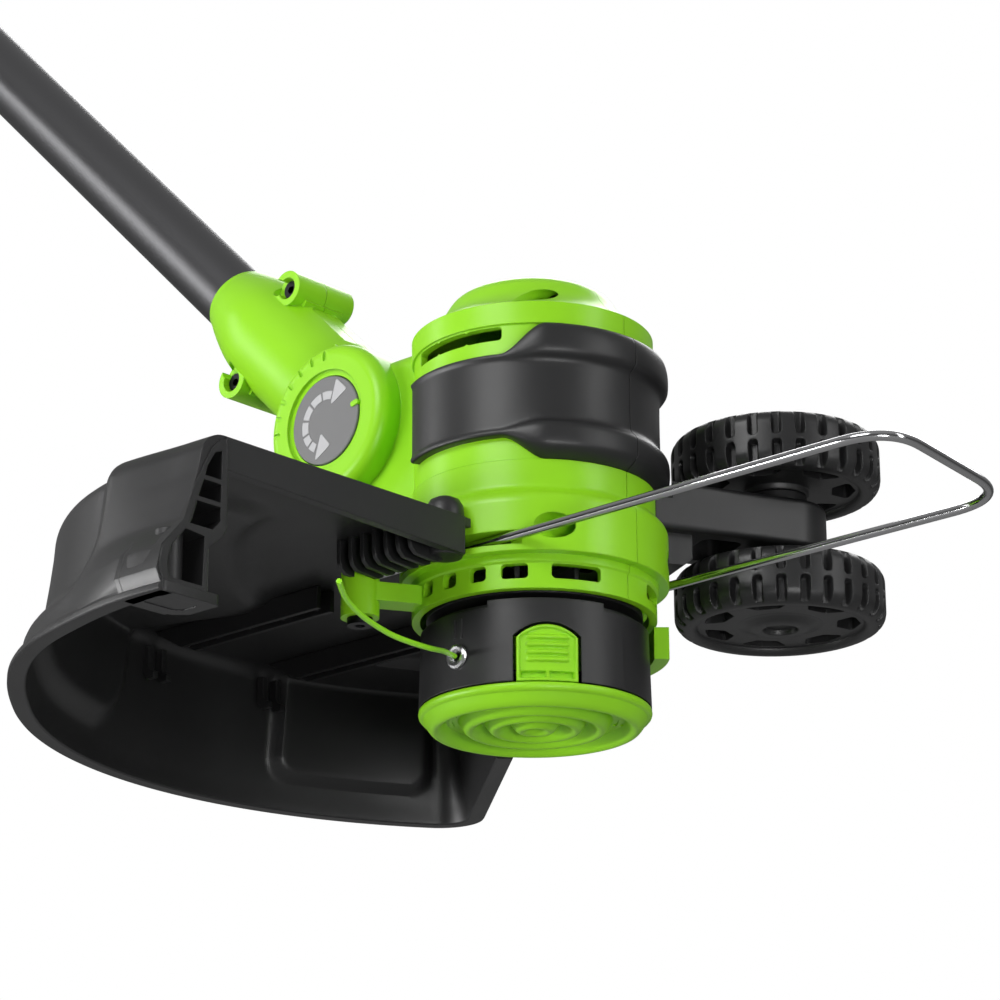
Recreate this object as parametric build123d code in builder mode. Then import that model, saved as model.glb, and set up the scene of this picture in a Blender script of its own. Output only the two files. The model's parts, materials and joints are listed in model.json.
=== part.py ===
from build123d import *
from math import atan2, cos, degrees, hypot, pi, radians, sin, tan
import os

# Battery string trimmer with a pivoting head, in millimetres.
# +Z is the spool's axis, +X points away from the shaft, and the origin is the lowest point of the spool
# cap, so the trimmer stands as it is held over a lawn. -Y is called the left side.

# ---- driving dimensions -----------------------------------------------------------------------
SEAM = 0.12                  # half of the gap between two casing halves
WALL = 2.6                   # casing wall

SPOOL_R = 36.4               # spool cap and the bottom of the spool housing
CAP_RIM_Z = 6.0
CUP_TOP_R = 35.7
CUP_TOP_Z = 30.8
CUP_WALL = 2.6
LATCH_ANGLE = -42.0
EYELET_ANGLE = -89.0
EYELET_Z = 16.8

RING_R = 38.5                # vented ring under the skirt
RING_Z = 35.2
SKIRT_R = 42.5
SKIRT_Z = 46.2
WAIST_R = 38.7
BAND_Z = 76.5
BAND_R = 40.5
BAND_RIB_R = 43.5
CORE_R = 38.0                # casing under the band
EAVE_Z = 121.4
DOME_Z = 145.8

PIVOT = Vector(-67.0, 0, 112.8)
LEAN = 44.26                 # shaft above the horizontal
CHEEK_R = 26.5
CHEEK_Y = 28.0
CHEEK_INNER_Y = 12.7
BUTTON_R = 15.1
ARM_Y = 19.0

TUBE_R = 12.7                # lower tube, 25.4 mm across
TUBE_WALL = 1.2
NECK_R = 19.5
NECK_END = 98.2

GUARD_R = 165.5              # rim of the guard
GUARD_LIP_Z = 6.3
GUARD_TOP_Z = 56.5
GUARD_WALL = 2.8
GUARD_FAR_ANGLE = 139.0
GUARD_END_X = 11.8
GUARD_EARS = ((-28.0, -49.4), (-50.0, 27.0))     # ears of the casing that carry it

# The wheels and their bracket are drawn along +X, then turned about the spool's axis to the right side.
WHEEL_TURN = 63.1
WHEEL_X = 85.3
WHEEL_R = 34.2
WHEEL_W = 19.4
WHEEL_Z = (51.1, 96.3)
AXLE_R = 3.0

WIRE_R = 1.5
WIRE_Z = 50.3
WIRE_Y = 36.0

UPPER_TUBE_R = 15.0
UPPER_TUBE_START = 480.0
UPPER_TUBE_END = 900.0
LOWER_TUBE_START = 34.0
LOWER_TUBE_END = 770.0
GRIP_Y = 16.0                # half width of the rear handle

# The side plane of the shaft: x runs up the shaft from the pivot, y is square to it, z is +Y.
SHAFT_DIR = Vector(-cos(radians(LEAN)), 0, sin(radians(LEAN)))
SIDE = Plane(origin=PIVOT, x_dir=SHAFT_DIR, z_dir=(0, 1, 0))


def across(distance):
    """Plane square to the shaft, with its normal up the shaft."""
    return Plane(origin=PIVOT + SHAFT_DIR * distance, x_dir=(0, 1, 0), z_dir=SHAFT_DIR)


def at_side(x, y, z=0.0):
    """Point of the row frame from side-plane coordinates."""
    return SIDE.from_local_coords(Vector(x, y, z))


def around(angle, radius, z=0.0):
    """Point at an angle about the spool axis."""
    return Vector(radius * cos(radians(angle)), radius * sin(radians(angle)), z)


def outward(angle, radius, z):
    """Plane that faces away from the spool axis, with its y up."""
    normal = around(angle, 1.0)
    return Plane(origin=around(angle, radius, z), x_dir=Vector(-normal.Y, normal.X, 0), z_dir=normal)


def radial(angle):
    """Half plane through the spool axis at an angle, with x outwards and y up."""
    return Plane(origin=(0, 0, 0), x_dir=around(angle, 1), z_dir=around(angle - 90, 1))


def ring_of(inner, outer, low, high):
    """Plain ring about the spool axis."""
    with BuildPart(mode=Mode.PRIVATE) as made:
        with BuildSketch(Plane.XY.offset(low)):
            Circle(outer)
            if inner > 0:
                Circle(inner, mode=Mode.SUBTRACT)
        extrude(amount=high - low)
    return made.part


def sleeve(plane, inner, outer, length):
    """Plain tube that starts at a plane."""
    with BuildPart(mode=Mode.PRIVATE) as made:
        with BuildSketch(plane):
            Circle(outer)
            if inner > 0:
                Circle(inner, mode=Mode.SUBTRACT)
        extrude(amount=length)
    return made.part


def half(whole, side):
    """One casing half: side -1 is the left half and +1 the right half."""
    with BuildPart(mode=Mode.PRIVATE) as made:
        add(whole)
        if side < 0:
            split(bisect_by=Plane.XZ.offset(SEAM), keep=Keep.TOP)
        else:
            split(bisect_by=Plane.XZ.offset(-SEAM), keep=Keep.BOTTOM)
    return made.part


def screw(plane, shank_r, length, head_r=3.4, head_h=2.2, socket=1.5):
    """Pan-head screw whose head sits on the plane and whose shank runs against its normal."""
    with BuildPart(mode=Mode.PRIVATE) as made:
        with BuildSketch(plane):
            Circle(head_r)
        extrude(amount=head_h)
        with BuildSketch(plane):
            Circle(shank_r)
        extrude(amount=-length)
        with BuildSketch(plane.offset(head_h)):
            RegularPolygon(socket, 6)
        extrude(amount=-head_h * 0.7, mode=Mode.SUBTRACT)
    return made.part


def save(part, name):
    part.label = name
    export_step(part, f"parts/{name}.step")


os.makedirs("parts", exist_ok=True)

# ---- head casing ------------------------------------------------------------------------------
# Outer outline of the casing about the spool axis, from the bottom of the vented ring to the dome.
with BuildPart() as casing_outer:
    with BuildSketch(Plane.XZ):
        with BuildLine():
            Polyline((0, RING_Z), (RING_R, RING_Z), (RING_R, 43.2), (SKIRT_R, SKIRT_Z), (SKIRT_R, 61.8))
            Spline((SKIRT_R, 61.8), (40.6, 65.6), (WAIST_R, 68.6), tangents=[(0, 1), (0, 1)])
            Polyline((WAIST_R, 68.6), (WAIST_R, BAND_Z), (CORE_R, BAND_Z), (CORE_R, EAVE_Z),
                     (38.7, EAVE_Z), (38.9, 128.6))
            Spline((38.9, 128.6), (33.0, 132.0), (28.6, 137.0), (25.6, 141.4), (20.0, 144.2), (0, DOME_Z),
                   tangents=[(-0.9, 0.45), (-1, 0)])
            Line((0, DOME_Z), (0, RING_Z))
        make_face()
    revolve(axis=Axis.Z)

# Cheeks of the tilting joint and the arms that carry them.
ARM_OUTLINE = [(-67.0, 131.4), (-30.0, 131.4), (-30.0, 66.0), (-44.0, 66.0), (-62.0, 86.8), (-67.0, 86.3)]
with BuildPart() as cheek_solid:
    with BuildSketch(Plane.XZ.offset(-CHEEK_Y)):
        with Locations((PIVOT.X, PIVOT.Z)):
            Circle(CHEEK_R)
    extrude(amount=2 * CHEEK_Y)
    fillet(cheek_solid.edges().filter_by(GeomType.CIRCLE), 4.4)
with BuildPart() as arm_solid:
    with BuildSketch(Plane.XZ):
        with BuildLine():
            Polyline(*ARM_OUTLINE, close=True)
        make_face()
    extrude(amount=ARM_Y, both=True)
    fillet(arm_solid.edges().filter_by(Axis.X).group_by(Axis.Z)[-1], 5.0)

with BuildPart() as casing_hollow:
    with BuildSketch(Plane.XZ):
        with BuildLine():
            Polyline((0, RING_Z - 1), (RING_R - WALL, RING_Z - 1), (RING_R - WALL, 45.6),
                     (SKIRT_R - WALL, 47.4), (SKIRT_R - WALL, 61.0), (WAIST_R - WALL, 67.6),
                     (CORE_R - WALL, 78.0), (CORE_R - WALL, 127.0), (29.5, 131.0), (25.0, 136.0), (22.0, 140.0),
                     (0, 142.6), (0, RING_Z - 1))
        make_face()
    revolve(axis=Axis.Z)

# The slot between the cheeks where the neck's tongue swings.
with BuildPart() as tongue_slot:
    with BuildSketch(Plane.XZ):
        with Locations((PIVOT.X, PIVOT.Z)):
            Circle(CHEEK_R + 0.6)
    extrude(amount=CHEEK_INNER_Y, both=True)

VENT_ANGLES = ((28.4, 20.0), (57.2, 10.6), (74.8, 7.0), (90.7, 7.0), (106.6, 7.0))
VENT_LOW, VENT_HIGH = 38.3, 43.0
SCREW_SPOTS = ((22.0, 132.6), (32.4, 54.0))     # x and z of the sunk casing screws
SCREW_HOLE_R = 4.1
SCREW_POST_R = 5.9
SCREW_SEAT_Y = 12.0


def wedge(angle, width, low, high, inner, outer):
    """Block about a radial line, for windows in a round wall."""
    reach = 2 * outer * tan(radians(width / 2))
    with BuildPart(mode=Mode.PRIVATE) as made:
        with BuildSketch(outward(angle, inner, (low + high) / 2)):
            RectangleRounded(reach, high - low, min(high - low, reach) * 0.28)
        extrude(amount=outer - inner)
    return made.part


with BuildPart() as screw_posts:
    with BuildSketch(Plane.XZ):
        for x, z in SCREW_SPOTS:
            with Locations((x, z)):
                Circle(SCREW_POST_R)
    extrude(amount=40.0, both=True)
    add(casing_outer.part, mode=Mode.INTERSECT)

with BuildPart() as casing:
    add(casing_outer.part)
    add(arm_solid.part)
    add(cheek_solid.part)
    add(casing_hollow.part, mode=Mode.SUBTRACT)
    add(tongue_slot.part, mode=Mode.SUBTRACT)
    add(screw_posts.part)
    # seat of the motor plate
    add(ring_of(27.5, 40.5, 52.6, 54.9))
    add(ring_of(39.2, 60, RING_Z, SKIRT_Z - 0.2), mode=Mode.SUBTRACT)
    # vents round the ring
    for angle, width in VENT_ANGLES:
        for side in (-1, 1):
            add(wedge(side * angle, width, VENT_LOW, VENT_HIGH, 30, 45), mode=Mode.SUBTRACT)
    # hot-air slots under the eave
    for angle in (-108, -90, -72, 72, 90, 108):
        add(wedge(angle, 15.5, EAVE_Z - 5.0, EAVE_Z - 0.6, 30, 45), mode=Mode.SUBTRACT)
    # slots where the wire guard enters the skirt
    with BuildSketch(Plane.XY.offset(WIRE_Z - 2.2)):
        with GridLocations(0, 2 * (WIRE_Y + 3.5), 1, 2):
            Rectangle(64, 11)
    extrude(amount=4.4, mode=Mode.SUBTRACT)
    # sunk screws
    for x, z in SCREW_SPOTS:
        for side in (-1, 1):
            with BuildSketch(Plane.XZ.offset(-side * SCREW_SEAT_Y)):
                with Locations((x, z)):
                    Circle(SCREW_HOLE_R)
            extrude(amount=-side * 40.0, mode=Mode.SUBTRACT)
        with BuildSketch(Plane.XZ):
            with Locations((x, z)):
                Circle(1.6)
        extrude(amount=14.0, both=True, mode=Mode.SUBTRACT)
    # seats for the pivot button and the cover on the other side
    for side in (-1, 1):
        with BuildSketch(Plane.XZ.offset(-side * 17.0)):
            with Locations((PIVOT.X, PIVOT.Z)):
                Circle(BUTTON_R + 0.35)
        extrude(amount=-side * 20.0, mode=Mode.SUBTRACT)
        with BuildSketch(Plane.XZ.offset(-side * (CHEEK_Y - 1.2))):
            with Locations((PIVOT.X, PIVOT.Z)):
                Circle(BUTTON_R + 2.2)
        extrude(amount=-side * 5.0, mode=Mode.SUBTRACT)
    with BuildSketch(Plane.XZ):
        with Locations((PIVOT.X, PIVOT.Z)):
            Circle(5.0)
    extrude(amount=30, both=True, mode=Mode.SUBTRACT)
    # marks of the seven tilt positions
    for step in range(7):
        angle = radians(180 - LEAN - 45 + 15 * step)
        x = PIVOT.X + (CHEEK_R - 3.6) * cos(angle)
        z = PIVOT.Z + (CHEEK_R - 3.6) * sin(angle)
        for side in (-1, 1):
            with BuildSketch(Plane.XZ.offset(-side * (CHEEK_Y - 0.9))):
                with Locations(Location((x, z, 0), degrees(angle))):
                    SlotOverall(4.2, 1.5)
            extrude(amount=-side * 3.0, mode=Mode.SUBTRACT)
    # ears that the guard is screwed to
    for x, y in GUARD_EARS:
        with BuildSketch(Plane.XY.offset(32.0)):
            with Locations((x, y)):
                Circle(6.0)
        extrude(amount=15.6)
        with BuildSketch(Plane.XY.offset(37.0)):
            with Locations(Location((x * 0.79, y * 0.79, 0), degrees(atan2(y, x)))):
                Rectangle(22, 9)
        extrude(amount=6.0)
        with BuildSketch(Plane.XY.offset(30.0)):
            with Locations((x, y)):
                Circle(2.2)
        extrude(amount=20.0, mode=Mode.SUBTRACT)
    add(ring_of(0, RING_R - WALL, RING_Z - 1, 45.0), mode=Mode.SUBTRACT)
    # line shoe that hangs beside the spool on the right side
    with BuildSketch(Plane.XY.offset(23.9)):
        with BuildLine():
            CenterArc((0, 0), 37.4, 44, 46)
            CenterArc((0, 0), 42.2, 44, 46)
            Line(around(44, 37.4), around(44, 42.2))
            Line(around(90, 37.4), around(90, 42.2))
        make_face()
    extrude(amount=10.4)
    with BuildSketch(Plane.XY.offset(23.9)):
        with BuildLine():
            CenterArc((0, 0), 37.4, 75, 15)
            CenterArc((0, 0), 42.2, 75, 15)
            Line(around(75, 37.4), around(75, 42.2))
            Line(around(90, 37.4), around(90, 42.2))
        make_face()
    extrude(amount=23.0)

save(half(casing.part, -1), "housing_left")
save(half(casing.part, 1), "housing_right")

# ---- black band -------------------------------------------------------------------------------
# The band keeps its two ribs at the front and narrows towards the tilting joint.
with BuildPart() as band:
    with BuildSketch(Plane.XZ):
        with BuildLine():
            Polyline((CORE_R, BAND_Z), (WAIST_R + 0.2, BAND_Z), (43.0, 80.0), (BAND_RIB_R, 86.2),
                     (BAND_R + 0.1, 89.4), (BAND_R, 108.2), (43.3, 110.8), (BAND_RIB_R, 117.0),
                     (42.4, 120.4), (CORE_R, 121.2), (CORE_R, BAND_Z))
        make_face()
    revolve(axis=Axis.Z)
    with BuildSketch(Plane.XZ):
        with BuildLine():
            Polyline((30.6, 124), (-60, 124), (-60, 110.4), (-20, 110.9))
            Spline((-20, 110.9), (14, 113.6), (22.5, 115.4), (28.2, 119.4), (30.6, 124),
                   tangents=[(1, 0.03), (0.4, 1)])
        make_face()
        with BuildLine():
            Polyline((33.5, 74), (-60, 74), (-60, 83.4), (-20, 84.0))
            Spline((-20, 84.0), (12, 87.2), (21.0, 86.2), (28.4, 81.6), (33.5, 74),
                   tangents=[(1, 0.05), (0.7, -1)])
        make_face()
        with BuildLine():
            Polyline((-60, 70), (-19.5, 70), (-19.5, 130), (-60, 130), close=True)
        make_face()
    extrude(amount=60, both=True, mode=Mode.SUBTRACT)
save(half(band.part, -1), "band_left")
save(half(band.part, 1), "band_right")

# ---- casing screws and the tilting joint's pin --------------------------------------------------
with BuildPart() as housing_screws:
    for x, z in SCREW_SPOTS:
        add(screw(Plane(origin=(x, -SCREW_SEAT_Y, z), x_dir=(1, 0, 0), z_dir=(0, -1, 0)), 1.55, 20.0))
save(housing_screws.part, "housing_screws")

CROSS = Plane(origin=PIVOT, x_dir=(1, 0, 0), z_dir=(0, -1, 0))     # at the joint, facing left
with BuildPart() as pivot_pin:
    with BuildSketch(CROSS.offset(-16.8)):
        Circle(4.98)
        Circle(2.6, mode=Mode.SUBTRACT)
    extrude(amount=33.6)
save(pivot_pin.part, "pivot_pin")


def button(facing):
    """Round grey disc with a guide ring behind it; facing 1 is left and -1 is right."""
    plane = Plane(origin=PIVOT, x_dir=(facing, 0, 0), z_dir=(0, -facing, 0))
    with BuildPart() as made:
        with BuildSketch(plane.offset(CHEEK_Y - 3.6)):
            Circle(BUTTON_R)
        extrude(amount=3.0)
        chamfer(made.edges().filter_by(GeomType.CIRCLE).group_by(SortBy.LENGTH)[-1], 0.3)
        with BuildSketch(plane.offset(CHEEK_Y - 3.6)):
            Circle(8.0)
            Circle(6.8, mode=Mode.SUBTRACT)
        extrude(amount=-3.2)
    return made.part


save(button(1), "pivot_button")
save(button(-1), "pivot_cover")

with BuildPart() as pivot_spring:
    for turn in range(3):
        with BuildSketch(CROSS.offset(17.3 + 2.3 * turn)):
            Circle(12.4)
            Circle(11.2, mode=Mode.SUBTRACT)
        extrude(amount=1.2)
    for turn in range(2):
        with BuildSketch(CROSS.offset(17.3 + 2.3 * turn + 0.6)):
            with Locations((11.8 - 23.6 * turn, 0)):
                Circle(0.55)
        extrude(amount=2.3)
save(pivot_spring.part, "pivot_spring")

# ---- motor and drive ----------------------------------------------------------------------------
MOTOR_R = 27.0
MOTOR_LOW, MOTOR_HIGH = 60.0, 114.0
SHAFT_R = 4.0
with BuildPart() as motor_can:
    with BuildSketch(Plane.XY.offset(MOTOR_LOW)):
        Circle(MOTOR_R)
    extrude(amount=MOTOR_HIGH - MOTOR_LOW)
    fillet(motor_can.edges().filter_by(GeomType.CIRCLE).group_by(Axis.Z)[-1], 3.0)
    with BuildSketch(Plane.XY.offset(MOTOR_LOW)):
        Circle(24.6)
    extrude(amount=MOTOR_HIGH - MOTOR_LOW - 2.4, mode=Mode.SUBTRACT)
    with BuildSketch(Plane.XY.offset(MOTOR_HIGH - 5)):
        Circle(SHAFT_R + 5.02)
    extrude(amount=6, mode=Mode.SUBTRACT)
    with PolarLocations(MOTOR_R - 1, 8):
        with Locations((0, 0, 104)):
            Box(6, 5, 9, mode=Mode.SUBTRACT)
save(motor_can.part, "motor_can")

with BuildPart() as motor_magnets:
    with BuildSketch(Plane.XY.offset(66.0)):
        Circle(24.5)
        Circle(20.8, mode=Mode.SUBTRACT)
        with PolarLocations(22.6, 4):
            Rectangle(6, 4.0, mode=Mode.SUBTRACT)
    extrude(amount=34.0)
save(motor_magnets.part, "motor_magnets")

with BuildPart() as motor_plate:
    with BuildSketch(Plane.XY.offset(55.0)):
        Circle(33.0)
        Circle(SHAFT_R + 5.02, mode=Mode.SUBTRACT)
        with Locations((26.3 + 10.0, 0)):
            Rectangle(20.0, 60.0, mode=Mode.SUBTRACT)
        with PolarLocations(30.2, 4, start_angle=75, angular_range=210):
            Circle(1.7, mode=Mode.SUBTRACT)
        with PolarLocations(18.0, 6):
            SlotOverall(9, 4.5, rotation=90, mode=Mode.SUBTRACT)
    extrude(amount=4.6)
save(motor_plate.part, "motor_plate")

with BuildPart() as motor_bearings:
    for low in (55.2, MOTOR_HIGH - 4.6):
        with BuildSketch(Plane.XY.offset(low)):
            Circle(SHAFT_R + 5.0)
            Circle(SHAFT_R + 0.05, mode=Mode.SUBTRACT)
        extrude(amount=4.2)
save(motor_bearings.part, "motor_bearings")

with BuildPart() as motor_rotor:
    with BuildSketch(Plane.XY.offset(66.0)):
        Circle(20.2)
        with PolarLocations(19.6, 12):
            Rectangle(2.6, 2.0, mode=Mode.SUBTRACT)
        with PolarLocations(15.6, 12):
            Circle(2.2, mode=Mode.SUBTRACT)
        Circle(SHAFT_R + 0.01, mode=Mode.SUBTRACT)
    extrude(amount=34.0)
save(motor_rotor.part, "motor_rotor")

with BuildPart() as drive_shaft:
    with BuildSketch(Plane.XY.offset(14.5)):
        Circle(SHAFT_R)
    extrude(amount=103.0)
    with BuildSketch(Plane.XY.offset(14.5)):
        Circle(2.2)
    extrude(amount=12.0, mode=Mode.SUBTRACT)
    chamfer(drive_shaft.edges().filter_by(GeomType.CIRCLE).group_by(Axis.Z)[-1], 0.6)
save(drive_shaft.part, "drive_shaft")

with BuildPart() as cooling_fan:
    with BuildSketch(Plane.XY.offset(35.2)):
        Circle(34.0)
        Circle(SHAFT_R + 0.01, mode=Mode.SUBTRACT)
    extrude(amount=1.8)
    with BuildSketch(Plane.XY.offset(37.0)):
        Circle(11.0)
        Circle(SHAFT_R + 0.01, mode=Mode.SUBTRACT)
    extrude(amount=7.0)
    with BuildSketch(Plane.XY.offset(37.0)):
        with PolarLocations(22.0, 11):
            Rectangle(22.4, 1.6, rotation=24)
    extrude(amount=7.0)
save(cooling_fan.part, "cooling_fan")

# ---- spool --------------------------------------------------------------------------------------
LATCHES = {"cap_latch_front": LATCH_ANGLE, "cap_latch_rear": LATCH_ANGLE + 180}
LATCH_W, LATCH_LOW, LATCH_SPRING_Z, LATCH_TOP = 20.0, 7.6, 21.0, 25.0


def arch(width, low, spring, top):
    """Draws an outline with an arched top in the open line block."""
    Polyline((-width / 2, spring), (-width / 2, low), (width / 2, low), (width / 2, spring))
    ThreePointArc((width / 2, spring), (0, top), (-width / 2, spring))


with BuildPart() as spool_housing:
    with BuildSketch(Plane.XZ):
        with BuildLine():
            Polyline((SPOOL_R - CUP_WALL, 6.9), (SPOOL_R - 0.1, 6.9), (CUP_TOP_R, CUP_TOP_Z),
                     (CUP_TOP_R - 2.2, CUP_TOP_Z), (CUP_TOP_R - 2.2, 32.4), (8.0, 32.4), (8.0, 34.6),
                     (SHAFT_R + 0.01, 34.6), (SHAFT_R + 0.01, 27.0), (8.0, 27.0), (8.0, 30.0),
                     (SPOOL_R - CUP_WALL - 0.6, 30.0), close=True)
        make_face()
    revolve(axis=Axis.Z)
    for angle in LATCHES.values():
        with BuildSketch(Plane.XY.offset(30.0)):
            with BuildLine():
                CenterArc((0, 0), CUP_TOP_R - 2.3, angle - 30, 60)
                CenterArc((0, 0), CUP_TOP_R, angle - 30, 60)
                Line(around(angle - 30, CUP_TOP_R - 2.3), around(angle - 30, CUP_TOP_R))
                Line(around(angle + 30, CUP_TOP_R - 2.3), around(angle + 30, CUP_TOP_R))
            make_face()
        extrude(amount=3.0)
    for angle in LATCHES.values():
        with BuildSketch(outward(angle, 28.0, 0)):
            with BuildLine():
                arch(LATCH_W + 0.8, 0, LATCH_SPRING_Z + 0.2, LATCH_TOP + 0.4)
            make_face()
        extrude(amount=12, mode=Mode.SUBTRACT)
    for angle in (EYELET_ANGLE, EYELET_ANGLE + 180):
        with BuildSketch(outward(angle, 30.0, EYELET_Z)):
            Circle(2.4)
        extrude(amount=8, mode=Mode.SUBTRACT)
        for shift in (-2.2, 2.2):
            with BuildSketch(outward(angle + shift, 35.2, 25.6)):
                Rectangle(0.7, 6.0)
            extrude(amount=1.0)
save(spool_housing.part, "spool_housing")

CAP_RIDGE_RADII = (31.5, 20.6, 12.8, 5.0, 0.0)     # the last one is the centre's small button
with BuildPart() as spool_cap:
    with BuildSketch(Plane.XZ):
        with BuildLine():
            Polyline((0, 3.4), (0, 0.9), (26.0, 0.9), (31.0, 1.5))
            Spline((31.0, 1.5), (34.6, 3.4), (SPOOL_R, CAP_RIM_Z), tangents=[(1, 0.2), (0, 1)])
            Polyline((SPOOL_R, CAP_RIM_Z), (SPOOL_R - 0.3, 6.6), (33.4, 6.6), (33.4, 9.6), (31.6, 9.6),
                     (31.6, 4.4), (0, 3.4))
        make_face()
    revolve(axis=Axis.Z)
    with BuildSketch(Plane.XZ):
        for radius in CAP_RIDGE_RADII:
            with Locations((radius, 1.15)):
                Ellipse(1.9, 1.3)
        with BuildLine():
            Polyline((-60, -10), (60, -10), (60, 0), (0, 0), (0, 60), (-60, 60), close=True)
        make_face(mode=Mode.SUBTRACT)
    revolve(axis=Axis.Z)
    with BuildSketch(Plane.XY.offset(3.0)):
        Circle(7.4)
        Circle(2.0, mode=Mode.SUBTRACT)
    extrude(amount=10.8)
    for angle in LATCHES.values():
        with Locations(Location(around(angle, 33.5, 8.4), (0, 0, angle))):
            Box(9.0, LATCH_W + 1.4, 3.7, mode=Mode.SUBTRACT)
save(spool_cap.part, "spool_cap")

for name, angle in LATCHES.items():
    with BuildPart() as latch:
        with BuildSketch(outward(angle, 31.2, 0)):
            with BuildLine():
                arch(LATCH_W, LATCH_LOW, LATCH_SPRING_Z, LATCH_TOP)
            make_face()
        extrude(amount=5.4)
        add(ring_of(33.2, SPOOL_R + 0.1, 0, 40), mode=Mode.INTERSECT)
        with BuildSketch(outward(angle, 35.0, 0)):
            for row in range(4):
                with Locations((0, 13.6 + 2.6 * row)):
                    SlotOverall(13.0, 1.1)
        extrude(amount=1.9)
        with BuildSketch(outward(angle, 35.2, 0)):
            with Locations((-4.3, 9.8), (4.3, 9.8)):
                Rectangle(7.2, 2.2)
        extrude(amount=4, mode=Mode.SUBTRACT)
    save(latch.part, name)

with BuildPart() as line_eyelets:
    for angle in (EYELET_ANGLE, EYELET_ANGLE + 180):
        with BuildSketch(outward(angle, 33.4, EYELET_Z)):
            Circle(2.38)
            Circle(1.3, mode=Mode.SUBTRACT)
        extrude(amount=2.9)
        with BuildSketch(outward(angle, 36.25, EYELET_Z)):
            Circle(3.3)
            Circle(1.3, mode=Mode.SUBTRACT)
        extrude(amount=0.9)
    fillet(line_eyelets.edges().filter_by(GeomType.CIRCLE).filter_by(
        lambda edge: edge.length > 20 and hypot(edge.center().X, edge.center().Y) > 36.8), 0.6)
save(line_eyelets.part, "line_eyelets")

with BuildPart() as spool_reel:
    with BuildSketch(Plane.XZ):
        with BuildLine():
            Polyline((7.6, 10.4), (30.4, 10.4), (30.4, 12.0), (12.0, 12.0), (12.0, 24.0), (30.4, 24.0),
                     (30.4, 25.6), (9.4, 25.6), (9.4, 22.0), (7.6, 22.0), close=True)
        make_face()
    revolve(axis=Axis.Z)
save(spool_reel.part, "spool_reel")

with BuildPart() as line_winding:
    with BuildSketch(Plane.XZ):
        with BuildLine():
            Polyline((12.05, 12.1), (26.0, 12.1), (26.9, 13.0), (26.4, 15.0), (27.1, 17.0), (26.5, 19.0),
                     (27.0, 21.0), (26.2, 23.9), (12.05, 23.9), close=True)
        make_face()
    revolve(axis=Axis.Z)
save(line_winding.part, "line_winding")

with BuildPart() as spool_spring:
    for turn in range(3):
        with BuildSketch(Plane.XY.offset(22.3 + 1.4 * turn)):
            Circle(8.9)
            Circle(8.1, mode=Mode.SUBTRACT)
        extrude(amount=0.8)
        with BuildSketch(Plane.XY.offset(22.7 + 1.4 * turn)):
            with Locations((8.5 if turn % 2 else -8.5, 0)):
                Circle(0.38)
        extrude(amount=1.4)
save(spool_spring.part, "spool_spring")

# ---- trimmer line -------------------------------------------------------------------------------
LINE_R = 0.83
LINE_ROUTE = [(0.65, -37.25, 16.8), (5.0, -46.4, 15.6), (10.6, -55.2, 13.0), (15.8, -64.4, 10.6),
              (19.2, -75.2, 9.2), (21.2, -85.6, 8.9), (24.0, -94.8, 9.1), (28.1, -104.4, 9.0),
              (32.9, -113.9, 9.2), (39.0, -123.2, 9.1), (46.4, -132.1, 9.3)]


def route_radii(points):
    """Radius of the arc at each inner point of a route."""
    radii = []
    for before, here, after in zip(points, points[1:], points[2:]):
        one, two = Vector(*here) - Vector(*before), Vector(*after) - Vector(*here)
        turn = one.get_angle(two)
        radii.append(0.45 * min(one.length, two.length) / tan(radians(turn / 2)))
    return radii


LINE_RADII = route_radii(LINE_ROUTE)
with BuildPart() as trimmer_line:
    with BuildLine() as line_path:
        FilletPolyline(*LINE_ROUTE, radius=LINE_RADII)
    with BuildSketch(Plane(origin=LINE_ROUTE[0], z_dir=Vector(*LINE_ROUTE[1]) - Vector(*LINE_ROUTE[0]))):
        Circle(LINE_R)
    sweep(path=line_path.wire())
save(trimmer_line.part, "trimmer_line")
print("trimmer line radii", [round(r, 1) for r in LINE_RADII])
print("trimmer line length", round(line_path.wire().length, 1),
      "volume", round(trimmer_line.part.volume, 2),
      "section x length", round(pi * LINE_R**2 * line_path.wire().length, 2))

# ---- guard --------------------------------------------------------------------------------------
GUARD_SWEEP = 290.0 - GUARD_FAR_ANGLE
POCKETS = ((-163.0, 65.0, 88.0), (GUARD_FAR_ANGLE + 2.0, 28.0, 112.0))     # start, sweep, inner radius
RIB_LINES = (-29.0, 24.0)


def guard_profile(inset):
    """Corners and shoulder of the guard's section, drawn in by an inset."""
    top = GUARD_TOP_Z - inset
    low = GUARD_LIP_Z - inset
    Polyline((20, top), (20, low), (158.2 - inset, low), (158.2 - inset, 9.6), (154.8 - inset, 24.0),
             (151.6 - inset, 40.0), (150.0 - inset, top - 7.2))
    ThreePointArc((150.0 - inset, top - 7.2), (147.9 - inset, top - 2.1), (142.8 - inset, top))
    Line((142.8 - inset, top), (20, top))


def pocket_profile(inset, inner_r):
    """Section of a bulge in the guard's wall and shoulder, drawn in by an inset."""
    top = GUARD_TOP_Z + 3.0 - inset
    Polyline((inner_r + inset, top - 8), (140, 14.6 + inset), (158.6 - inset, 16.6 + inset),
             (159.4 - inset, 30.0), (155.6 - inset, top - 9.0))
    ThreePointArc((155.6 - inset, top - 9.0), (152.4 - inset, top - 3.0), (146.0 - inset, top))
    Polyline((146.0 - inset, top), (inner_r + 9 + inset, top), (inner_r + inset, top - 3.4),
             (inner_r + inset, top - 8))


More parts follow.
